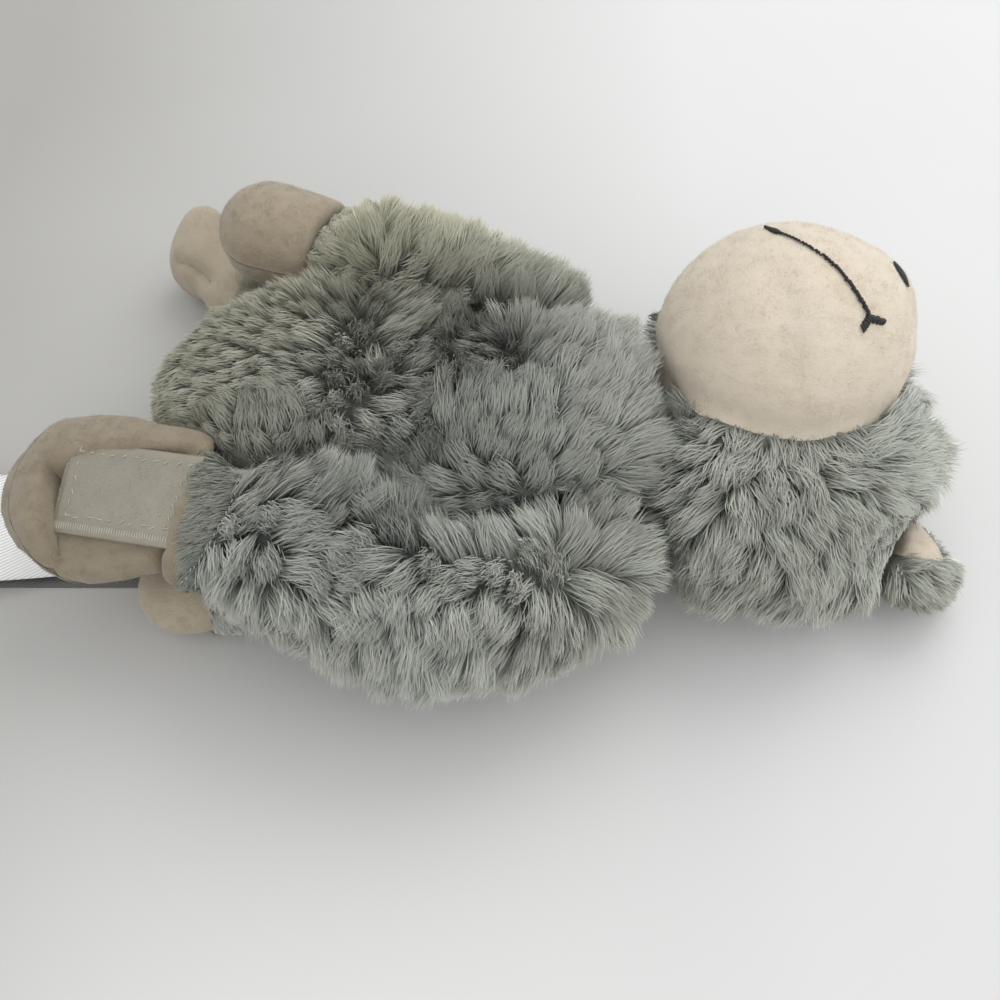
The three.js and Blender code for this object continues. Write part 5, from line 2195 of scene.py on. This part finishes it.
    def build(self, palm: Paw, sewer: Sewer) -> list[bpy.types.Object]:
        """Build the tape on the palm.

        Args:
            palm: The paw that carries it.
            sewer: Who sews it on.

        Returns:
            The pieces.
        """
        top, normals = self.lay(palm)
        top = self.drape(top, normals)
        upper = top + normals * self.heights()[..., None]
        tape = self.slab(upper, top - normals * 0.5 * MM, normals[0, 0]).object(self.name)
        tape.data.materials.append(TAPE.material())
        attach(tape, self.body)
        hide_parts(self.node)
        last_column, last_row = self.columns - 1, self.rows - 1
        shares = np.linspace(0, 1, 9)
        seam = []
        for (a0, b0), (a1, b1) in zip(self.seam, self.seam[1:]):
            columns = np.rint((a0 + (a1 - a0) * shares) * last_column).astype(int)
            rows = np.rint((b0 + (b1 - b0) * shares) * last_row).astype(int)
            seam.append(Line(upper[rows, columns], normals[rows, columns], np.ones(len(shares)), self.zigzag))
        low = round(0.92 * last_row)
        ribs = upper[low, 2:-2:4]
        seam.append(Line(ribs, normals[low, 2:-2:4], np.ones(len(ribs)), self.ribbing))
        sewn = sewer.sew(f"{self.name}_seam", seam, NYLON_THREAD, self.body)
        lines = [
            Line(upper[row, 4:-4], normals[row, 4:-4], np.ones(self.columns - 8), self.hooks)
            for row in range(3, int(0.8 * self.rows), 2)
        ]
        return [tape, sewn, sewer.sew(f"{self.name}_hooks", lines, CLEAR_HOOKS, self.body)]


@dataclass
class CareLabel:
    """One ply of the bare satin label that lies on the table under the near paw."""

    name: str = "satin_label"
    root: tuple[float, float] = (-53 * MM, 1.5 * MM)
    length: float = 72 * MM
    width: float = 29 * MM
    heading: float = math.radians(190)
    curl: float = 5 * MM
    base: float = 0.3 * MM
    thick: float = 0.28 * MM
    wave: float = 0.25 * MM
    finish: Finish = SatinFinish()
    body: str = "label"
    rows: int = 72
    columns: int = 16

    def build(self) -> bpy.types.Object:
        """Make the label as one laid sheet with its thickness.

        Returns:
            The label.
        """
        along = np.array((math.cos(self.heading), math.sin(self.heading), 0))
        across = np.array((-along[1], along[0], 0))
        points = []
        for row in range(self.rows + 1):
            run_out = self.length * row / self.rows
            lift = self.curl * max(0, 2 * row / self.rows - 1) ** 2
            for column in range(self.columns + 1):
                side = self.width * (column / self.columns - 0.5)
                wave = self.wave * (1 + math.sin(7 * row / self.rows + 3 * column / self.columns))
                place = np.array((*self.root, 0)) + along * run_out + across * side
                points.append(place + UP * (self.base + lift + wave * min(1, row / 24)))
        step = self.columns + 1
        faces = [(r * step + c, (r + 1) * step + c, (r + 1) * step + c + 1, r * step + c + 1)
                 for r in range(self.rows) for c in range(self.columns)]
        shell = Shell(np.array(points), np.array(faces))
        if shell.normals()[:, 2].mean() < 0:
            shell.faces = shell.faces[:, ::-1].copy()
        label = shell.object(self.name)
        wall = label.modifiers.new("cloth", "SOLIDIFY")
        wall.thickness, wall.offset = self.thick, 1
        mesh = plain_copy(label, self.name)
        bpy.data.objects.remove(label)
        label = placed(bpy.data.objects.new(self.name, mesh))
        mesh.materials.append(self.finish.material())
        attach(label, self.body)
        if self.body == "label":
            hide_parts("care_label")
        return label


MOUTH = (
    run("772,231,0.6 790,238,0.75 806,246,0.8 825,258,0.9 840,272,1.1 853,289,1.3 863,305,1.35 869,318,1.4",
        0.8, 1.4, 0.6, slant=16, uneven=0.35, lift=0.3),
    run("765,228,0.5 770,230,0.9 775,232,1.6 779,234,1.2", 0.4, 1.1, 0.55, slant=70, lift=0.3),
    run("869,317,1.2 866,323,1.3 862,329,1.1", 0.5, 1.6, 0.62, slant=75, uneven=0.3, lift=0.3),
    run("868,318,1.1 875,320,1.3 883,322,1.1", 0.5, 1.5, 0.62, slant=75, uneven=0.3, lift=0.3),
)


def ladder(rows: str, lift: float = 2.6, spacing: float = 1.3, long: float = 1.0, wide: float = 0.42) -> Run:
    """Read a run of the slanting stitches that close the toy's panels."""
    return run(rows, spacing, long, wide, slant=20, uneven=0.5, lift=lift)


WRIST_SEAM = ladder("246,484,1 240,500,1 232,520,1 219,542,1 200,562,1 184,576,1", 2.2, 1.4, 0.8, 0.26)
ARM_SEAM = ladder("483,563,1 505,567,1 530,571,1 564,580,1")
CHEST_SEAMS = (
    ladder("541,391,1 549,404,1 557,419,1"),
    ladder("582,428,1 585,442,1 587,455,1 586,468,1"),
    ladder("626,503,1 625,520,1 624,536,1"),
)
NEAR_EYE = ((893, 263), (907, 287))
NEAR_TAPE = ((75, 441), (207, 458), (170, 549), (52, 532))


# The studio


@dataclass(frozen=True)
class Lamp:
    """One soft lamp."""

    name: str
    place: tuple[float, float, float]
    size: float
    watts: float

    def hang(self) -> None:
        """Hang the lamp and turn it to the toy."""
        data = bpy.data.lights.new(self.name, "AREA")
        data.shape, data.size, data.energy = "DISK", self.size, self.watts
        lamp = placed(bpy.data.objects.new(self.name, data))
        lamp.location = self.place
        lamp.rotation_euler = (Vector((0, 0, 0.02)) - Vector(self.place)).to_track_quat("-Z", "Y").to_euler()


@dataclass
class Studio:
    """Table, lamps and camera."""

    lamps: tuple[Lamp, ...] = (
        Lamp("back_lamp", (0.26, 0.40, 0.54), 0.6, 1.95),
        Lamp("side_lamp", (0.5, -0.1, 0.42), 0.5, 0.45),
        Lamp("front_lamp", (0.05, -0.6, 0.5), 0.6, 0.95),
    )
    sky: float = 0.95
    backdrop: float = 0.8

    def build(self) -> None:
        """Set up the studio."""
        VIEW.camera()
        bm = bmesh.new()
        bmesh.ops.create_grid(bm, x_segments=8, y_segments=8, size=3.0)
        mesh = emptied(bm, "table")
        table = placed(bpy.data.objects.new("table", mesh))
        mesh.materials.append(TableFinish().material())
        for lamp in self.lamps:
            lamp.hang()
        world = bpy.data.worlds.new("room")
        bpy.context.scene.world = world
        world.use_nodes = True
        g = Graph(world.node_tree)
        path = g.add("ShaderNodeLightPath")
        seen = g.math("MAXIMUM", path.outputs["Is Camera Ray"], path.outputs["Is Transmission Ray"])
        strength = g.ramp(seen, 0.0, 1.0, self.sky, self.backdrop)
        light = g.add("ShaderNodeBackground", {"Color": (0.97, 0.98, 1.0, 1), "Strength": strength})
        g.add("ShaderNodeOutputWorld", {"Surface": light})
        bpy.context.scene.view_settings.view_transform = "Standard"


def solids_but(body: str) -> BVHTree:
    """Make a search tree of the CAD solids of all bodies but one.

    Args:
        body: The body that is left out.

    Returns:
        The search tree.
    """
    points, faces = [], []
    for thing in frame["nodes"].values():
        if thing.get("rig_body") == body:
            continue
        start = len(points)
        points += [v.co[:] for v in thing.data.vertices]
        faces += [[start + v for v in f.vertices] for f in thing.data.polygons]
    return BVHTree.FromPolygons(points, faces)


def parts() -> list[StuffedPart]:
    """Lay out the stuffed parts of the toy.

    Returns:
        The parts, in the order in which they are dressed.
    """
    fur, cuff, velour = Cover.FUR, Cover.CUFF, Cover.VELOUR
    made: list[StuffedPart] = [
        Torso(
            SoftForm("torso", {"belly_fur_panel": fur, "chest_yoke_fur_panel": fur, "back_fur_panel": fur},
                     "torso_stuffing", dents=VALLEY_DENTS),
            {"belly_fur_panel": "belly", "chest_yoke_fur_panel": "yoke", "back_fur_panel": "back"},
            {"belly_fur_panel": Pile.BELLY, "chest_yoke_fur_panel": Pile.LONG, "back_fur_panel": Pile.LONG},
            cuts=TORSO_TRIMS,
        ),
        Head(
            SoftForm("head", {"hood_fur_panel": fur, "face_velour_panel": velour}, "head_stuffing", voxel=1.7 * MM,
                     refine=True, dents=FACE_DENTS),
            {"hood_fur_panel": "hood", "face_velour_panel": "face"},
            {"hood_fur_panel": Pile.HOOD, "face_velour_panel": Pile.FACE}, fill=0.85, cuts=HOOD_TRIMS,
        ),
    ]
    for side in ("left", "right"):
        near = side == "left"
        back, lining = f"{side}_ear_fur_back", f"{side}_ear_velour_lining"
        made.append(Ear(
            SoftForm(f"{side}_ear", {back: fur, lining: velour}, "", voxel=1.2 * MM,
                     inset={fur: 0.8 * MM, velour: 0.6 * MM}, cap=0.6 * MM,
                     dents=NEAR_EAR_DENTS if near else FAR_EAR_DENTS),
            {back: f"{side}_ear_back", lining: f"{side}_ear_lining"}, {back: Pile.EAR, lining: Pile.NAP},
            fill=0.4, thick=0.7 * MM, cuts=NEAR_EAR_TRIMS if near else FAR_EAR_TRIMS,
            seams=(MovedSeam(EAR_ABOVE, lining, (back,), True), MovedSeam(EAR_BELOW, back, (lining,), True)) if near
            else (),
        ))
        upper, under, band, wrist = (f"{side}_{p}" for p in (
            "arm_upper_fur_panel", "arm_under_fur_panel", "arm_cuff_band", "wrist"))
        seams = (MovedSeam(NEAR_CUFF, band, (upper, under)),) if near else ()
        covers, short = {upper: fur, under: fur, band: cuff}, {
            upper: f"{side}_arm_upper", under: f"{side}_arm_under", band: f"{side}_cuff"}
        piles, stands = {upper: Pile.LONG, under: Pile.LONG, band: Pile.CUFF if near else Pile.EAR}, {}
        if near:
            seams += (MovedSeam(NEAR_WRIST, wrist, (band,)),)
            covers[wrist], short[wrist], piles[wrist], stands = velour, wrist, Pile.NAP, {wrist: band}
        made.append(Limb(
            SoftForm(f"{side}_arm", covers, f"{side}_arm_stuffing", voxel=2.0 * MM, refine=True,
                     dents=NEAR_ARM_DENTS if near else ()),
            short, piles, velour=SHADED_PALM_VELOUR, cuff=SHADED_CUFF_PLUSH if near else PALE_CUFF,
            cuts=ARM_TRIMS if near else FAR_ARM_TRIMS, seams=seams, stands=stands,
        ))
        palm, knuckles = f"{side}_paw_palm_panel", f"{side}_paw_back_panel"
        made.append(Paw(
            SoftForm(f"{side}_paw", {palm: velour, knuckles: velour}, f"{side}_paw_stuffing", voxel=1.4 * MM,
                     refine=True, dents=() if near else FAR_PAW_DENTS),
            {palm: f"{side}_palm", knuckles: f"{side}_paw_back"}, {palm: Pile.NAP, knuckles: Pile.NAP},
            velour=SHADED_PALM_VELOUR if near else SHADED_FAR_VELOUR, tape=f"{side}_palm_{'hook' if near else 'loop'}_tape",
            rim=5.0 * MM if near else 0.0, over=made[-1] if near else None,
        ))
        sleeve, foot = f"{side}_leg_fur_sleeve", f"{side}_foot_velour"
        made.append(Limb(
            SoftForm(f"{side}_leg", {sleeve: fur, foot: velour}, f"{side}_leg_stuffing", voxel=1.5 * MM,
                     inset={fur: 1.8 * MM, velour: 0.9 * MM}, refine=True, dents=() if near else FAR_FOOT_DENTS),
            {sleeve: f"{side}_leg_sleeve", foot: f"{side}_foot"}, {sleeve: Pile.RUMP, foot: Pile.NAP},
            velour=PAW_VELOUR, cuts=LEG_TRIMS, seams=() if near else (MovedSeam(FAR_FOOT, foot, (sleeve,)),),
        ))
    return made


def sew_all(made: dict[str, StuffedPart]) -> list[bpy.types.Object]:
    """Sew the face, the tapes and the seams.

    Args:
        made: The stuffed parts by their bodies.

    Returns:
        The pieces.
    """
    sewer, pieces = Sewer(), []
    face = made["head"].outer["face_velour_panel"].tree()
    mouth = sewer.sew("mouth_embroidery", [sewer.line(face, r, (800, 330)) for r in MOUTH], BLACK_THREAD, "head")
    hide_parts("mouth_stitching")
    pieces.append(mouth)
    for node, wide, past, ends in (
        ("left_eye_stitching", 2.6 * MM, 0.0, NEAR_EYE),
        ("right_eye_stitching", 3.0 * MM, 6 * MM, ()),
        ("nose_stitching", 2.0 * MM, 2.4 * MM, ()),
    ):
        satin = leaf(node, face, wide, past, ends=ends)
        patch = sewer.sew(node.replace("stitching", "embroidery"), [satin], BLACK_THREAD, "head")
        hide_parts(node)
        pieces.append(patch)
    pieces += TouchTape("left_palm_hook_tape", "left_paw", "hook_tape", NEAR_TAPE).build(made["left_paw"], sewer)
    pieces += TouchTape("right_palm_loop_tape", "right_paw", "loop_tape").build(made["right_paw"], sewer)
    for name, body, home, runs in (
        ("wrist_seam", "left_arm", (260, 520), (WRIST_SEAM,)),
        ("arm_seam", "left_arm", (500, 600), (ARM_SEAM,)),
        ("chest_seam", "torso", (560, 440), CHEST_SEAMS),
    ):
        cloth = made[body].surface()
        pieces.append(sewer.sew(name, [sewer.line(cloth, r, home) for r in runs], GREY_THREAD, body))
    bpy.data.objects.remove(sewer.thread)
    return pieces


def main() -> None:
    """Build the toy and its studio."""
    logging.basicConfig(level=logging.INFO, format="%(name)s %(message)s")
    Studio().build()
    made = parts()
    for part in made:
        part.form.rough()
    inflate([part.form for part in made])
    groomer = Groomer(COMB, OWN_COMBS)
    for part in made:
        pieces = part.dress(groomer, solids_but(part.form.body))
        LOG.info("%s: %s", part.form.body, ", ".join(p.name for p in pieces))
    bpy.data.objects.remove(groomer.lock)
    bpy.data.objects.remove(groomer.nap)
    for piece in sew_all({part.form.body: part for part in made}):
        LOG.info("sewn: %s", piece.name)
    CareLabel().build()
    # The label's lower ply, its dark grey colour painted shade under the upper ply and the near paw.
    CareLabel(
        name="label_under_ply", root=(-53 * MM, -9.1 * MM), heading=math.pi, curl=0.0, body="torso",
        base=0.04 * MM, thick=0.14 * MM, wave=0.0, finish=SHADED_SATIN,
    ).build()


if __name__ == "__main__":
    main()
